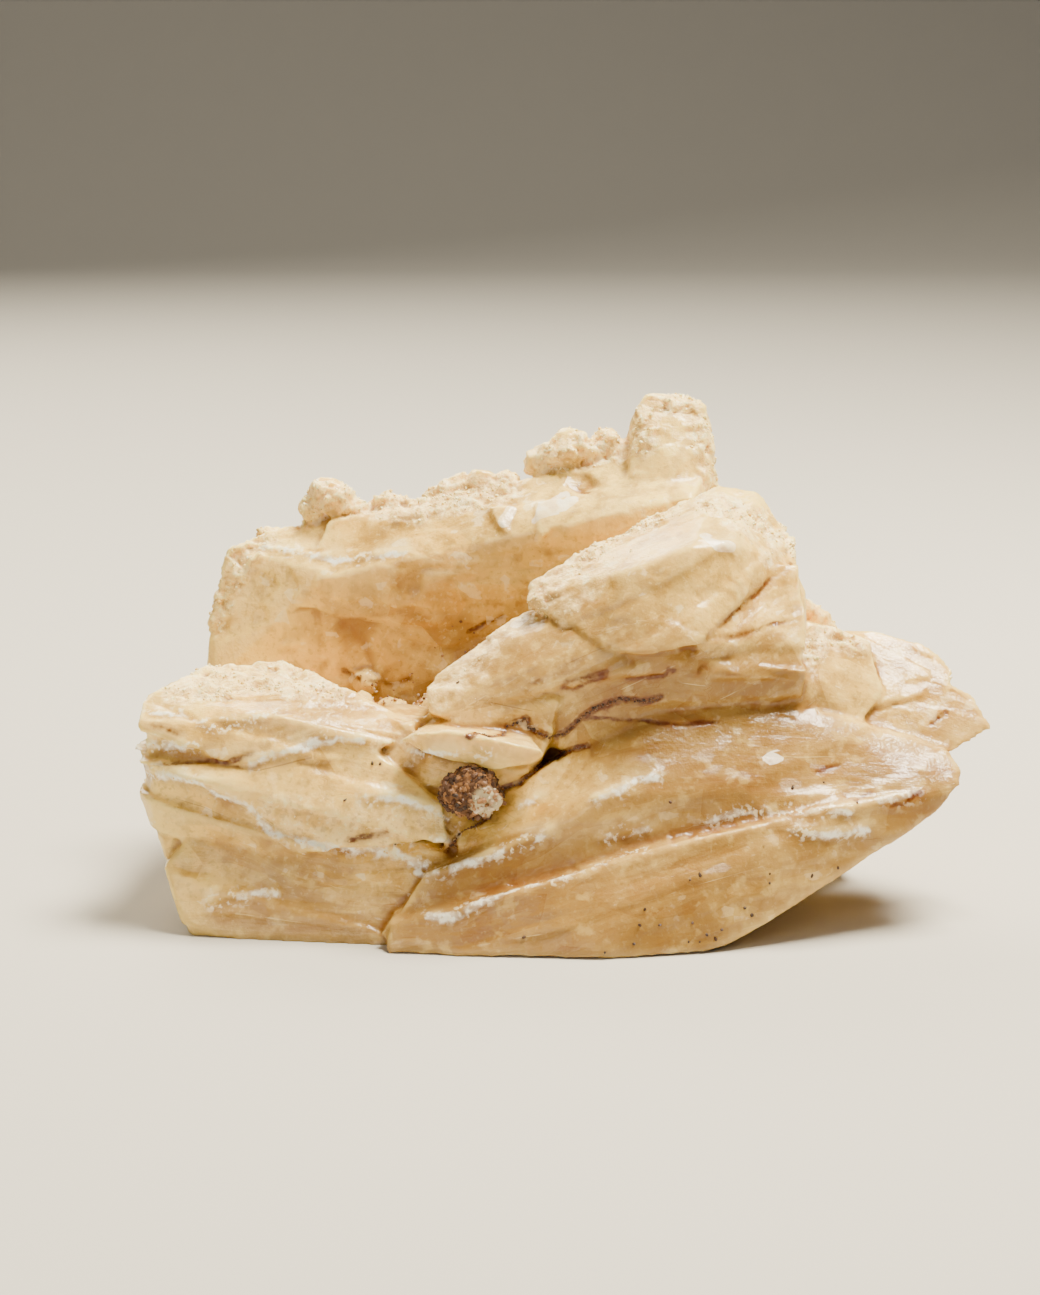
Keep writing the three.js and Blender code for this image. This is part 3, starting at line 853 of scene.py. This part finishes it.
# %% [markdown]
# ## Materials
# A material is a tree of nodes. One function turns the hex colours into linear ones, and one adds a node with its
# settings and links. Most finishes of a stone are layers: a colour lies over another where a few things agree, such
# as a noise being high and the surface being clean. So one more function multiplies those things into the layer's
# share, and one lays a list of layers one over another.

# %% Material helpers
def linear(hex_colour):
    """An sRGB hex colour as linear red, green, blue and an alpha of 1."""
    parts = [int(hex_colour[i : i + 2], 16) / 255 for i in (1, 3, 5)]
    return [p / 12.92 if p <= 0.04045 else ((p + 0.055) / 1.055) ** 2.4 for p in parts] + [1.0]


def add(tree, kind, inputs=None, stops=(), **settings):
    """Adds a node. Inputs are values, or sockets of other nodes to link from. Stops are a ramp's places and colours."""
    node = tree.nodes.new(kind)
    for key, value in settings.items():
        setattr(node, key, value)
    for key, value in (inputs or {}).items():
        if isinstance(value, bpy.types.NodeSocket):
            tree.links.new(value, node.inputs[key])
        else:
            node.inputs[key].default_value = value
    for place, colour in stops:
        ramp = node.color_ramp.elements
        at_place = [stop for stop in ramp if stop.position == place] or [ramp.new(place)]
        at_place[0].color = linear(colour)
    return node


def new_material(name):
    material = bpy.data.materials.new(name)
    material.use_nodes = True
    material.node_tree.nodes.clear()
    print("material:", name)
    return material, material.node_tree


# %% Layers of colour
def share_of(tree, *parts):
    """How much of a layer shows, from 0 to 1: the product of its parts.

    A part is a number, a socket, or a socket with the two values between which it fades in. Two more numbers are
    the shares it fades from and to, where they aren't 0 and 1.
    """
    total = None
    for part in parts:
        if isinstance(part, tuple):
            value, start, end, least, most = (*part, 0.0, 1.0)[:5]
            settings = {"Value": value, "From Min": start, "From Max": end, "To Min": least, "To Max": most}
            part = add(tree, "ShaderNodeMapRange", settings, interpolation_type="SMOOTHSTEP").outputs[0]
        if total is not None:
            part = add(tree, "ShaderNodeMath", {0: total, 1: part}, operation="MULTIPLY").outputs[0]
        total = part
    return total


def laid_over(tree, under, layers):
    """Lays colours one over another. Each layer is its name, its hex colour and the parts of its share."""
    for name, colour, *parts in layers:
        settings = {"Factor": share_of(tree, *parts), "A": under, "B": linear(colour)}
        under = add(tree, "ShaderNodeMix", settings, data_type="RGBA", label=name).outputs["Result"]
    return under


# %% [markdown]
# ## Selenite
# Selenite is clear gypsum. Light enters it, scatters off the sheets inside and comes out honey coloured where iron
# stained it and milky where sheets have parted. A renderer could follow light through real sheets, but thousands of
# them would take hours. Here light scatters just under the surface instead, and what the eye would see inside is
# laid on the skin: veils that follow the sheets, plates that differ in tone, specks, rust by the cracks and snowy
# crests. Light and shade are painted in too: shade low down, under overhangs and in creases, sparkle on the crests
# and glints on a few fresh chips and flakes. Each noise is given by the real size of its patches in millimetres. Real
# laminae are thinner than paper, so they are drawn as coarse as the view can show, 0.4 mm thick.

# %% Patterns of selenite
PARALLEL = {
    "bands": ((20.0, 14.29, 4.167), 3.0),
    "gate": ((14.29, 11.11, 2.0), 1.0),
    "streaks": ((7.143, 5.0, 1.429), 3.0),
    "laminae": ((8.333, 6.25, 0.3846), 2.0),
}
SPECKLED = {
    "haze": (11.11, 5.0),
    "patches": (3.846, 2.0),
    "mottle": (1.923, 3.0),
    "grit": (0.6667, 2.0),
    "grains": (0.4167, 2.0),
}
PLATES = (9.091, 9.091, 4.167)
FLAKES = (2.381, 2.0, 1.0)
FROST_CRYSTALS = (1.667 * MM,) * 3


class Patterns:
    """The values that the layers of a stone follow, each under its own name."""


def repeats(sizes):
    """How often a pattern repeats in one unit, from its sizes."""
    return [1 / size for size in sizes]


def facets(tree, vector, sizes):
    """Flat facets, each tilted its own way: their height, and a random colour for each."""
    where = add(tree, "ShaderNodeMapping", {"Vector": vector, "Scale": repeats(sizes)}).outputs[0]
    cells = add(tree, "ShaderNodeTexVoronoi", {"Vector": where, "Scale": 1.0})
    colour, middle = cells.outputs["Color"], cells.outputs["Position"]
    inside = add(tree, "ShaderNodeVectorMath", {0: where, 1: middle}, operation="SUBTRACT").outputs[0]
    tilt = add(tree, "ShaderNodeVectorMath", {0: colour, 1: (0.5,) * 3}, operation="SUBTRACT").outputs[0]
    height = add(tree, "ShaderNodeVectorMath", {0: inside, 1: tilt}, operation="DOT_PRODUCT").outputs["Value"]
    return height, colour


def selenite_patterns(tree):
    """What the mesh knows, and the noises, facets and sheet edges of selenite."""
    on = Patterns()
    for name in knowledge:
        output = "Vector" if name == "sheets" else "Fac"
        setattr(on, name, add(tree, "ShaderNodeAttribute", attribute_name=name).outputs[output])
    place = add(tree, "ShaderNodeTexCoord").outputs["Object"]
    for name, (sizes, detail) in PARALLEL.items():
        where = add(tree, "ShaderNodeMapping", {"Vector": on.sheets, "Scale": repeats(sizes)}).outputs[0]
        settings = {"Vector": where, "Scale": 1.0, "Detail": detail, "Roughness": 0.6, "Distortion": 0.5}
        setattr(on, name, add(tree, "ShaderNodeTexNoise", settings, label=name).outputs["Fac"])
    for name, (size, detail) in SPECKLED.items():
        settings = {"Vector": place, "Scale": 1 / (size * MM), "Detail": detail}
        setattr(on, name, add(tree, "ShaderNodeTexNoise", settings, label=name).outputs["Fac"])
    on.plates = facets(tree, on.sheets, PLATES)[1]
    on.flake_height, on.flakes = facets(tree, on.sheets, FLAKES)
    on.crystals = facets(tree, place, FROST_CRYSTALS)[0]
    height = add(tree, "ShaderNodeSeparateXYZ", {0: on.sheets}).outputs["Z"]
    for name, (thickness, *_) in zip(("thick_edge", "thin_edge"), SHEETS):
        setattr(on, name, add(tree, "ShaderNodeMath", {0: height, 1: thickness}, operation="PINGPONG").outputs[0])
    return on


# %% Marks on selenite
def selenite_marks(tree, on):
    """The shares of frost, crest, dust, crack, rust and painted chip glint. Noise makes their edges ragged."""

    def frayed(value, noise, amount, start, end, *others):
        ragged = add(tree, "ShaderNodeMath", {0: noise, 1: amount, 2: value}, operation="MULTIPLY_ADD").outputs[0]
        return share_of(tree, (ragged, start, end), *others)

    on.frosted = frayed(on.frost, on.mottle, 0.9, 0.65, 1.05)
    # The crest is the snowy crust of a broken sheet edge, whitened further as painted sparkle.
    on.crest = frayed(on.crest_mm, on.mottle, 1.6, 1.42, 0.88, (on.patches, 0.38, 0.46))
    # Specks near the crests: real dust, and painted sparkle.
    on.dust = frayed(on.crest_mm, on.patches, 2.0, 2.3, 1.1, (on.grit, 0.52, 0.64))
    on.crack = frayed(on.crack_mm, on.mottle, 0.7, 0.8, 0.52, (on.patches, 0.36, 0.44))
    on.rust = frayed(on.crack_mm, on.mottle, 1.2, 1.65, 0.5, (on.patches, 0.4, 0.56))
    on.fresh = frayed(on.fresh_mm, on.patches, 0.8, 1.2, 1.1)
    # Where neither the stain nor its painted shade is strong, the pale layers show.
    on.clean = share_of(tree, (on.stain, 1.0, 0.4, 0.25, 1.0))


# %% Colour of selenite
# Pale where the tops are painted as lit, honey to brown where iron stain and painted shade are strong.
STAIN_AND_SHADE_COLOURS = ((0.0, "#fbe092"), (0.22, "#eabf68"), (0.5, "#c99c4e"), (0.75, "#a98350"), (1.0, "#8a6030"))
SUNNY = "#fffbd8"


def selenite_colour(tree, on):
    # The stain ramp paints iron stain and shade together.
    stained_and_shaded = add(tree, "ShaderNodeValToRGB", {"Fac": on.stain}, stops=STAIN_AND_SHADE_COLOURS).outputs[0]
    depths = (
        ("pale plates", "#f8de9c", (on.plates, 0.5, 0.7, 0.0, 0.4), on.clean),
        ("dark plates", "#ac8c58", (on.plates, 0.45, 0.25, 0.0, 0.35)),
        ("pale flakes", "#f8da98", (on.flakes, 0.6, 0.7, 0.0, 0.25), on.clean),
        ("dark flakes", "#9c763c", (on.flakes, 0.36, 0.3, 0.0, 0.1)),
        ("pale bands", "#efc87a", (on.bands, 0.5, 0.68, 0.0, 0.25), on.clean, on.cutting),
        ("dark bands", "#a57e44", (on.bands, 0.5, 0.32, 0.0, 0.2), on.cutting),
        ("pale haze", "#f2d088", (on.haze, 0.48, 0.64, 0.0, 0.4), on.clean),
        ("dark haze", "#a88854", (on.haze, 0.48, 0.34, 0.0, 0.4)),
        ("pale streaks", "#f6da98", (on.streaks, 0.52, 0.64, 0.0, 0.35), on.clean, on.cutting),
        ("pale patches", "#f6d890", (on.patches, 0.5, 0.66, 0.0, 0.3), on.clean),
        ("dark patches", "#a07a3e", (on.patches, 0.47, 0.36, 0.0, 0.3)),
        ("dark mottle", "#a0763a", (on.mottle, 0.46, 0.34, 0.0, 0.24)),
        ("pale mottle", "#f8de9e", (on.mottle, 0.56, 0.68, 0.0, 0.24)),
        ("dark grit", "#966c32", (on.grit, 0.44, 0.32, 0.0, 0.28)),
        ("pale grit", "#fdeab4", (on.grit, 0.58, 0.7, 0.0, 0.3), on.clean),
        ("thin sheet edges", "#7c4c22", (on.thin_edge, 0.07, 0.0175), (on.gate, 0.4, 0.3), on.cutting, 0.6),
        (
            "thick sheet edges",
            "#fdecc0",
            (on.thick_edge, 0.09, 0.0225),
            (on.gate, 0.5, 0.58),
            on.cutting,
            (on.patches, 0.42, 0.55, 0.0, 0.4),
        ),
        # Darker in creases: partly dirt that settled there, partly painted shade.
        ("dirt in creases", "#804c1e", (on.crease_mm, 0.05, 0.4, 0.0, 0.75)),
        ("worn edges", "#f8dfa4", (on.crease_mm, -0.05, -0.3, 0.0, 0.5), on.clean),
        ("shade under crests", "#96683a", (on.ledge, -0.05, -0.6, 0.0, 0.3)),
        ("milk above crests", "#fbe8bc", (on.ledge, 0.02, 0.5, 0.0, 0.6), on.clean, (on.patches, 0.42, 0.56)),
    )
    settings = {"Factor": 1.0, "A": laid_over(tree, stained_and_shaded, depths), "B": linear(SUNNY)}
    sunny = add(tree, "ShaderNodeMix", settings, data_type="RGBA", blend_type="MULTIPLY").outputs["Result"]
    skin_layers = (
        ("frost", "#fbdc96", on.frosted, (on.mottle, 0.42, 0.58, 0.2, 0.85)),
        ("gaps in frost", "#bc9252", on.frosted, (on.grit, 0.46, 0.36, 0.0, 0.45)),
        # Snowy crests and the specks beside them, partly real crust and partly painted sparkle.
        ("dust by crests", "#fff0cc", on.dust, 0.85),
        ("crests", "#fff9ea", on.crest, (on.grit, 0.4, 0.5, 0.5, 1.0)),
        ("sugar on frost", "#ffefb8", (on.grit, 0.58, 0.66, 0.0, 0.6), on.frosted),
        ("rust by cracks", "#8a4c1a", on.rust, 0.6),
        ("cracks", "#642e0a", on.crack, (on.grit, 0.35, 0.65, 0.95, 0.6)),
        # Painted glints: a few flakes are whitened as if they caught the light.
        ("cleaved flakes", "#fff4d4", (on.flakes, 0.72, 0.77), (on.mottle, 0.54, 0.6), on.clean, 0.3),
        # Painted glints: white where fresh cleavage chips would reflect the light.
        ("fresh chips", "#fff2dc", on.fresh, (on.mottle, 0.4, 0.6, 0.4, 0.85)),
    )
    return laid_over(tree, sunny, skin_layers)


# %% Relief too fine for the mesh
def selenite_normals(tree, on):
    """Fine relief, one on another: each with what lies under it, its height, strength and depth in millimetres."""
    normals = {}
    for name, under, height, strength, depth in (
        ("streaked", None, on.streaks, 0.15, 0.6),
        ("laminated", "streaked", on.laminae, 0.12, 0.3),
        ("crystalline", "laminated", on.crystals, share_of(tree, (on.frosted, 0.0, 1.0, 0.28, 0.7)), 0.6),
        ("grained", "crystalline", on.grains, share_of(tree, (on.frosted, 0.0, 1.0, 0.3, 0.8)), 0.2),
        ("glinting", "laminated", on.flake_height, 0.8, 1.0),
    ):
        settings = {"Height": height, "Strength": strength, "Distance": depth * MM}
        if under:
            settings["Normal"] = normals[under]
        normals[name] = add(tree, "ShaderNodeBump", settings, label=name).outputs[0]
    return normals


# %% Selenite, grown in sheets and broken
# To the eye: honey depths under milky veils, glints off the sheets, and snowy crests where they broke.
def selenite_material():
    material, tree = new_material("selenite, grown in sheets and broken")
    on = selenite_patterns(tree)
    selenite_marks(tree, on)
    normals = selenite_normals(tree, on)
    shader = add(
        tree,
        "ShaderNodeBsdfPrincipled",
        {
            "Base Color": selenite_colour(tree, on),
            "Roughness": share_of(tree, (on.frosted, 0.0, 1.0, 0.24, 0.5)),
            "Specular IOR Level": 0.36,
            "IOR": 1.52,
            "Subsurface Weight": 0.7,
            "Subsurface Radius": (1.0, 0.94, 0.72),
            "Subsurface Scale": 1.3 * MM,
            "Coat Weight": 0.08,
            "Coat Roughness": 0.08,
            "Coat Normal": normals["glinting"],
            "Normal": normals["grained"],
        },
    )
    add(tree, "ShaderNodeOutputMaterial", {"Surface": shader.outputs[0]})
    print("nodes:", len(tree.nodes))
    return material


blades.data.materials.clear()
blades.data.materials.append(selenite_material())
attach(blades, "root")
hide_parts("crystal_cluster")

# %% [markdown]
# ## Grains
# Sugary gypsum on the broken rims and sand in the widest cracks are both grains: small solids in their thousands.
# Particles would place them too, but a mesh is what gets exported. So one rough pebble is made with an operator. Its
# copies are sized, squashed and turned from seeded random numbers, and all copies become one mesh. Each grain carries
# one random number, by which its material picks a colour.

# %% A pebble and its copies
SQUASHED, DENTED = (0.55, 1.3), 0.25
STRAY = 0.07


def pebble():
    """The points and faces of one faceted ball of radius 1."""
    work = bmesh.new()
    bmesh.ops.create_icosphere(work, subdivisions=1, radius=1.0)
    points = np.array([vert.co for vert in work.verts])
    faces = np.array([[vert.index for vert in face.verts] for face in work.faces])
    work.free()
    return points, faces


def grains(name, places, sizes, kinds, seed):
    """One mesh of many pebbles. `kinds` is a number from 0 to 1 for each."""
    random = np.random.default_rng(seed)
    points, faces = pebble()
    count = len(places)
    squash = random.uniform(*SQUASHED, (count, 1, 3))
    turns = np.linalg.qr(random.normal(size=(count, 3, 3)))[0]
    shaped = points[None] * squash * (1 + DENTED * random.uniform(-1, 1, (count, len(points), 1)))
    placed = within_box(np.einsum("nij,nkj->nki", turns, shaped) * sizes[:, None, None] + places[:, None])
    mesh = bpy.data.meshes.new(name)
    numbered = faces[None] + np.arange(count)[:, None, None] * len(points)
    mesh.from_pydata((placed.reshape(-1, 3) * MM).tolist(), [], numbered.reshape(-1, 3).tolist())
    write_attribute(mesh, "kind", np.repeat(kinds, len(points)))
    print(name, count, "grains,", triangles_in(mesh), "triangles")
    return new_object(name, mesh)


# %% Where grains fall
def scattered(random, points, weights, count, spread):
    """Random places on a skin, more where the weight is larger, a little off the points themselves."""
    chosen = random.choice(len(points), count, p=weights / weights.sum())
    return points[chosen] + random.uniform(-spread, spread, (count, 3))


def settled(points):
    """Each point moved to the nearest place on the sculpted skin."""
    return np.array([sculpted_surface.find_nearest(Vector(point))[0] for point in points.tolist()])


def sizes_from(random, count, smallest, spread, power):
    """Random radii from the smallest up. A high power leaves only a few large ones."""
    return smallest + spread * random.random(count) ** power


def strewn(random, paths, spacing, wander):
    """Places along paths, one every `spacing` on average, that wander as the paths do."""
    places = []
    for path in paths:
        for start, end in zip(path, path[1:]):
            length = np.linalg.norm(end - start)
            if length < LONGEST_JOIN:
                share = random.random((random.poisson(length / spacing), 1))
                places.append(start + share * (end - start))
    places = np.concatenate(places)
    return places - wander * drift(places) + random.normal(0, STRAY, places.shape)


# %% Sugary rims
RIM_GRAINS, FACE_GRAINS, GRAIN_SPREAD = 3200, 1200, 0.3
CREST_SPACING = 1.2
RIM_SIZES, FINER = (0.07, 0.2, 3), 0.6
POWDER_PATCHES = {"size": 3.0, "seed": 101, "start": -0.5, "end": 0.4, "octaves": 2}
SPECKLE_PATCHES = {"size": 2.0, "seed": 103, "start": -0.3, "end": 0.5, "octaves": 2}

sculpted_surface = surface_of(blades.data)
random = np.random.default_rng(11)
powdery = crusted**2 * patchy(skin, **POWDER_PATCHES)
speckled = np.maximum(frosted - crusted, 0) * patchy(skin, **SPECKLE_PATCHES)
on_rims = scattered(random, skin, powdery, RIM_GRAINS, GRAIN_SPREAD)
on_frost = scattered(random, skin, speckled, FACE_GRAINS, GRAIN_SPREAD)
on_crests = strewn(random, crest_paths, CREST_SPACING, CREST_WANDER)
rim_places = settled(np.concatenate([on_rims, on_frost, on_crests]))
rim_sizes = sizes_from(random, len(rim_places), *RIM_SIZES)
rim_sizes[RIM_GRAINS:] *= FINER
druse = grains("rim_druse", rim_places, rim_sizes, random.random(len(rim_places)), 12)

# %% Sugary gypsum grains
# To the eye: crystals too small to see into, so they are bright, soft edged and a little glossy.
DRUSE_COLOURS = ((0.0, "#ecbc62"), (0.5, "#fbd98c"), (1.0, "#ffeeb6"))


def druse_material():
    material, tree = new_material("sugary gypsum grains")
    kind = add(tree, "ShaderNodeAttribute", attribute_name="kind").outputs["Fac"]
    ramp = add(tree, "ShaderNodeValToRGB", {"Fac": kind}, stops=DRUSE_COLOURS)
    shader = add(
        tree,
        "ShaderNodeBsdfPrincipled",
        {
            "Base Color": ramp.outputs[0],
            "Roughness": 0.35,
            "IOR": 1.52,
            "Subsurface Weight": 0.5,
            "Subsurface Radius": (1.0, 0.66, 0.4),
            "Subsurface Scale": MM,
        },
    )
    add(tree, "ShaderNodeOutputMaterial", {"Surface": shader.outputs[0]})
    return material


druse.data.materials.append(druse_material())
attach(druse, "root")

# %% [markdown]
# ## The lump of sand
# Desert roses grow in wet sand, and this one still holds a lump of it: brown grains cemented by gypsum, whitish at
# its lower right where the cement is thick. It is as rough as it is wide, so its plain form is remeshed finely and
# pushed in and out by strong noise. Loose grains are laid on it in the next step.

# %% Sand lump
LUMP_VOXEL, LUMP_SOFTEN = 0.16, 6
LUMP_ROUGH, LUMP_LUMPS, LUMP_INSET = 0.85, 2.2, 0.25
PALE_BIT, PALE_REACH, PALE_FADE = on_table(-3.4, -46.3, 16.4), 2.3, (2.7, 1.9)

lump = merged_copy("sand_lump", "sand_lump_crust")
with_modifier(lump, "REMESH", mode="VOXEL", voxel_size=LUMP_VOXEL * MM)
lump_skin = relaxed(points_of(lump.data), edges_of(lump.data), LUMP_SOFTEN)
move_points(lump.data, lump_skin)
rise = LUMP_ROUGH * rough_noise(lump_skin, LUMP_LUMPS, seed=111, octaves=4) - LUMP_INSET
lump_skin += normals_of(lump.data) * rise[:, None]
move_points(lump.data, lump_skin)
lump.data.shade_smooth()
write_attribute(lump.data, "pale", eased(np.linalg.norm(lump_skin - PALE_BIT, axis=1), *PALE_FADE))
print("sand lump", triangles_in(lump.data), "triangles")

# %% Sand cemented by gypsum
# To the eye: dull brown grains of several minerals, half a millimetre wide, with a whitish bit.
SAND_GRAIN = 0.5263
SAND_COLOURS = ((0.0, "#422a1a"), (0.5, "#6a4628"), (0.7, "#9a6a40"), (1.0, "#b98656"))


def sand_material():
    material, tree = new_material("sand cemented by gypsum")
    place = add(tree, "ShaderNodeTexCoord").outputs["Object"]
    settings = {"Vector": place, "Scale": 1 / (SAND_GRAIN * MM)}
    grain = add(tree, "ShaderNodeTexVoronoi", settings).outputs["Color"]
    brown = add(tree, "ShaderNodeValToRGB", {"Fac": grain}, stops=SAND_COLOURS).outputs[0]
    pale = add(tree, "ShaderNodeAttribute", attribute_name="pale").outputs["Fac"]
    colour = laid_over(tree, brown, [("whitish bit", "#c9b994", pale)])
    settings = {"Base Color": colour, "Roughness": 0.85, "IOR": 1.5}
    shader = add(tree, "ShaderNodeBsdfPrincipled", settings)
    add(tree, "ShaderNodeOutputMaterial", {"Surface": shader.outputs[0]})
    return material


lump.data.materials.append(sand_material())
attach(lump, "root")
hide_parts("sand_lump")

# %% [markdown]
# ## Sand grains
# Sand sticks where it can't be washed out: on the lump, in the three widest cracks and on the floor of the hollow,
# where it is stained honey yellow. A few dark specks lie on the faces. The grains are drawn first as places, then
# sized and coloured group by group, because each group has its own mix of minerals.

# %% Where sand grains lie
LUMP_GRAINS, LUMP_STRAY = 700, 0.08
HOLLOW_GRAINS, HOLLOW_STRAY = 1500, 0.15
HOLLOW_MIDDLE, HOLLOW_REACH = on_table(-9, -20, 24), (9, 5, 4)
CRACK_SPACING = 0.05
DARK_SPECKS = [
    (824, 782), (793, 787), (857, 803), (690, 880), (700, 875), (770, 874), (745, 908), (645, 909), (770, 883),
    (838, 868),
    (812, 876), (693, 923), (707, 935), (722, 930), (700, 942), (689, 942), (634, 944), (605, 953), (524, 937),
    (660, 925),
    (455, 775), (372, 763), (380, 764), (395, 843), (670, 802), (752, 915), (716, 939), (640, 925), (458, 683),
    (345, 800),
]  # fmt: skip

hollow_floor = np.exp(-(((skin - HOLLOW_MIDDLE) / HOLLOW_REACH) ** 2).sum(1))
on_lump = scattered(random, lump_skin, np.ones(len(lump_skin)), LUMP_GRAINS, LUMP_STRAY)
in_cracks = settled(strewn(random, crack_paths[:FILLED_CRACKS], CRACK_SPACING, CRACK_WANDER))
in_hollow = scattered(random, skin, hollow_floor, HOLLOW_GRAINS, HOLLOW_STRAY)
on_faces = settled(np.concatenate([cast([place, place])[:1] for place in DARK_SPECKS]))
print("grains on the lump", len(on_lump), "in cracks", len(in_cracks), "on faces", len(on_faces))

# %% How large and how dark each sand grain is
FINE_SIZES, SPECK_SIZES, LUMP_SIZES = (0.05, 0.13, 4), (0.16, 0.14, 1), (0.12, 0.3, 2)
HONEY_LARGER = 1.6
DARK, DARKEST = 0.7, 0.4
WHITISH, HONEY = (0.6, 0.4), (0.45, 0.5)

sand_places = np.concatenate([on_lump, in_cracks, in_hollow, on_faces])
count = len(sand_places)
lumped = slice(0, LUMP_GRAINS)
specked = slice(count - len(on_faces), count)
hollowed = slice(specked.start - HOLLOW_GRAINS, specked.start)

sand_sizes = sizes_from(random, count, *FINE_SIZES)
sand_sizes[specked] = sizes_from(random, len(on_faces), *SPECK_SIZES)
sand_sizes[lumped] = sizes_from(random, LUMP_GRAINS, *LUMP_SIZES)
sand_sizes[hollowed] *= HONEY_LARGER

sand_kinds = random.random(count)
in_pale_bit = np.linalg.norm(on_lump - PALE_BIT, axis=1) < PALE_REACH
whitish = WHITISH[0] + WHITISH[1] * sand_kinds[lumped]
sand_kinds[lumped] = np.where(in_pale_bit, whitish, DARK * sand_kinds[lumped])
sand_kinds[LUMP_GRAINS:] *= DARK
sand_kinds[specked] *= DARKEST
sand_kinds[hollowed] = HONEY[0] + HONEY[1] * random.random(HOLLOW_GRAINS)
sand = grains("sand_grains", sand_places, sand_sizes, sand_kinds, 13)

# %% Desert sand grains
# To the eye: opaque grains from nearly black through rust and honey to bone white, with a dull shine.
GRAIN_COLOURS = ((0.0, "#2c1a0e"), (0.45, "#5e3a20"), (0.75, "#a8784a"), (1.0, "#ebdfc4"))


def grain_material():
    material, tree = new_material("desert sand grains")
    kind = add(tree, "ShaderNodeAttribute", attribute_name="kind").outputs["Fac"]
    colour = add(tree, "ShaderNodeValToRGB", {"Fac": kind}, stops=GRAIN_COLOURS).outputs[0]
    shader = add(tree, "ShaderNodeBsdfPrincipled", {"Base Color": colour, "Roughness": 0.6, "IOR": 1.54})
    add(tree, "ShaderNodeOutputMaterial", {"Surface": shader.outputs[0]})
    return material


sand.data.materials.append(grain_material())
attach(sand, "root")

# %% [markdown]
# ## Paper and light
# A stone looks best on a sheet of paper that curves up behind it, so that no edge shows: a line is pulled out into a
# floor, spun a quarter turn into a bend and pulled up into a wall. Three soft lamps do the rest. One hangs over the
# right shoulder of the stone, one lights its rims from behind, and a weak one in front opens the shadows.

# %% Floor
SWEEP_WIDE, SWEEP_FRONT, SWEEP_BACK, SWEEP_RADIUS, SWEEP_HIGH = 4.0, -1.6, 0.9, 0.5, 1.6
SWEEP_STEPS = 16


def of_kind(geometry, *kinds):
    return [part for part in geometry if isinstance(part, kinds)]


floor_work = bmesh.new()
front = bmesh.ops.create_vert(floor_work, co=(-SWEEP_WIDE / 2, SWEEP_FRONT, 0))["vert"][0]
line = bmesh.ops.extrude_vert_indiv(floor_work, verts=[front])
bmesh.ops.translate(floor_work, verts=line["verts"], vec=(SWEEP_WIDE, 0, 0))
flat = bmesh.ops.extrude_edge_only(floor_work, edges=line["edges"])["geom"]
backwards = (0, SWEEP_BACK - SWEEP_FRONT, 0)
bmesh.ops.translate(floor_work, verts=of_kind(flat, bmesh.types.BMVert), vec=backwards)
bend = bmesh.ops.spin(
    floor_work,
    geom=of_kind(flat, bmesh.types.BMEdge, bmesh.types.BMVert),
    cent=(0, SWEEP_BACK, SWEEP_RADIUS),
    axis=(1, 0, 0),
    angle=math.pi / 2,
    steps=SWEEP_STEPS,
)["geom_last"]
wall = bmesh.ops.extrude_edge_only(floor_work, edges=of_kind(bend, bmesh.types.BMEdge))["geom"]
bmesh.ops.translate(floor_work, verts=of_kind(wall, bmesh.types.BMVert), vec=(0, 0, SWEEP_HIGH))
floor_mesh = bpy.data.meshes.new("floor")
floor_work.to_mesh(floor_mesh)
floor_work.free()
floor_mesh.shade_smooth()
floor = new_object("floor", floor_mesh)
print("floor", SWEEP_WIDE, "m wide with", len(floor_mesh.polygons), "faces")

# %% Pale paper
# To the eye: matt and even, so that nothing on it shines beside the stone.
paper, paper_tree = new_material("pale paper")
paper_shader = add(paper_tree, "ShaderNodeBsdfPrincipled", {"Base Color": linear("#bcb8b0"), "Roughness": 0.9})
add(paper_tree, "ShaderNodeOutputMaterial", {"Surface": paper_shader.outputs[0]})
floor_mesh.materials.append(paper)

# %% Light
LAMP_COLOUR, LAMP_TARGET = "#fff4dc", (0, 0, 0.03)
# Each lamp's place in metres, its width and height, and its watts.
LAMPS = {
    "overhead": ((0.16, 0.05, 0.52), (0.26, 0.2), 14.5),
    "behind": ((-0.25, 0.55, 0.45), (0.5, 0.3), 7),
    "front": ((-0.35, -0.75, 0.4), (0.5, 0.4), 2.7),
}
SKY_COLOUR, SKY_STRENGTH = "#eef0f4", 0.12

for name, (place, size, watts) in LAMPS.items():
    light = bpy.data.lights.new(name, "AREA")
    light.shape = "RECTANGLE"
    light.size, light.size_y = size
    light.energy = watts
    light.color = linear(LAMP_COLOUR)[:3]
    lamp = new_object(name, light)
    lamp.location = place
    lamp.rotation_euler = (Vector(LAMP_TARGET) - Vector(place)).to_track_quat("-Z", "Y").to_euler()
    print("lamp", name, watts, "W")

world = bpy.data.worlds.new("studio")
bpy.context.scene.world = world
world.use_nodes = True
background = world.node_tree.nodes["Background"]
background.inputs["Color"].default_value = linear(SKY_COLOUR)
background.inputs["Strength"].default_value = SKY_STRENGTH
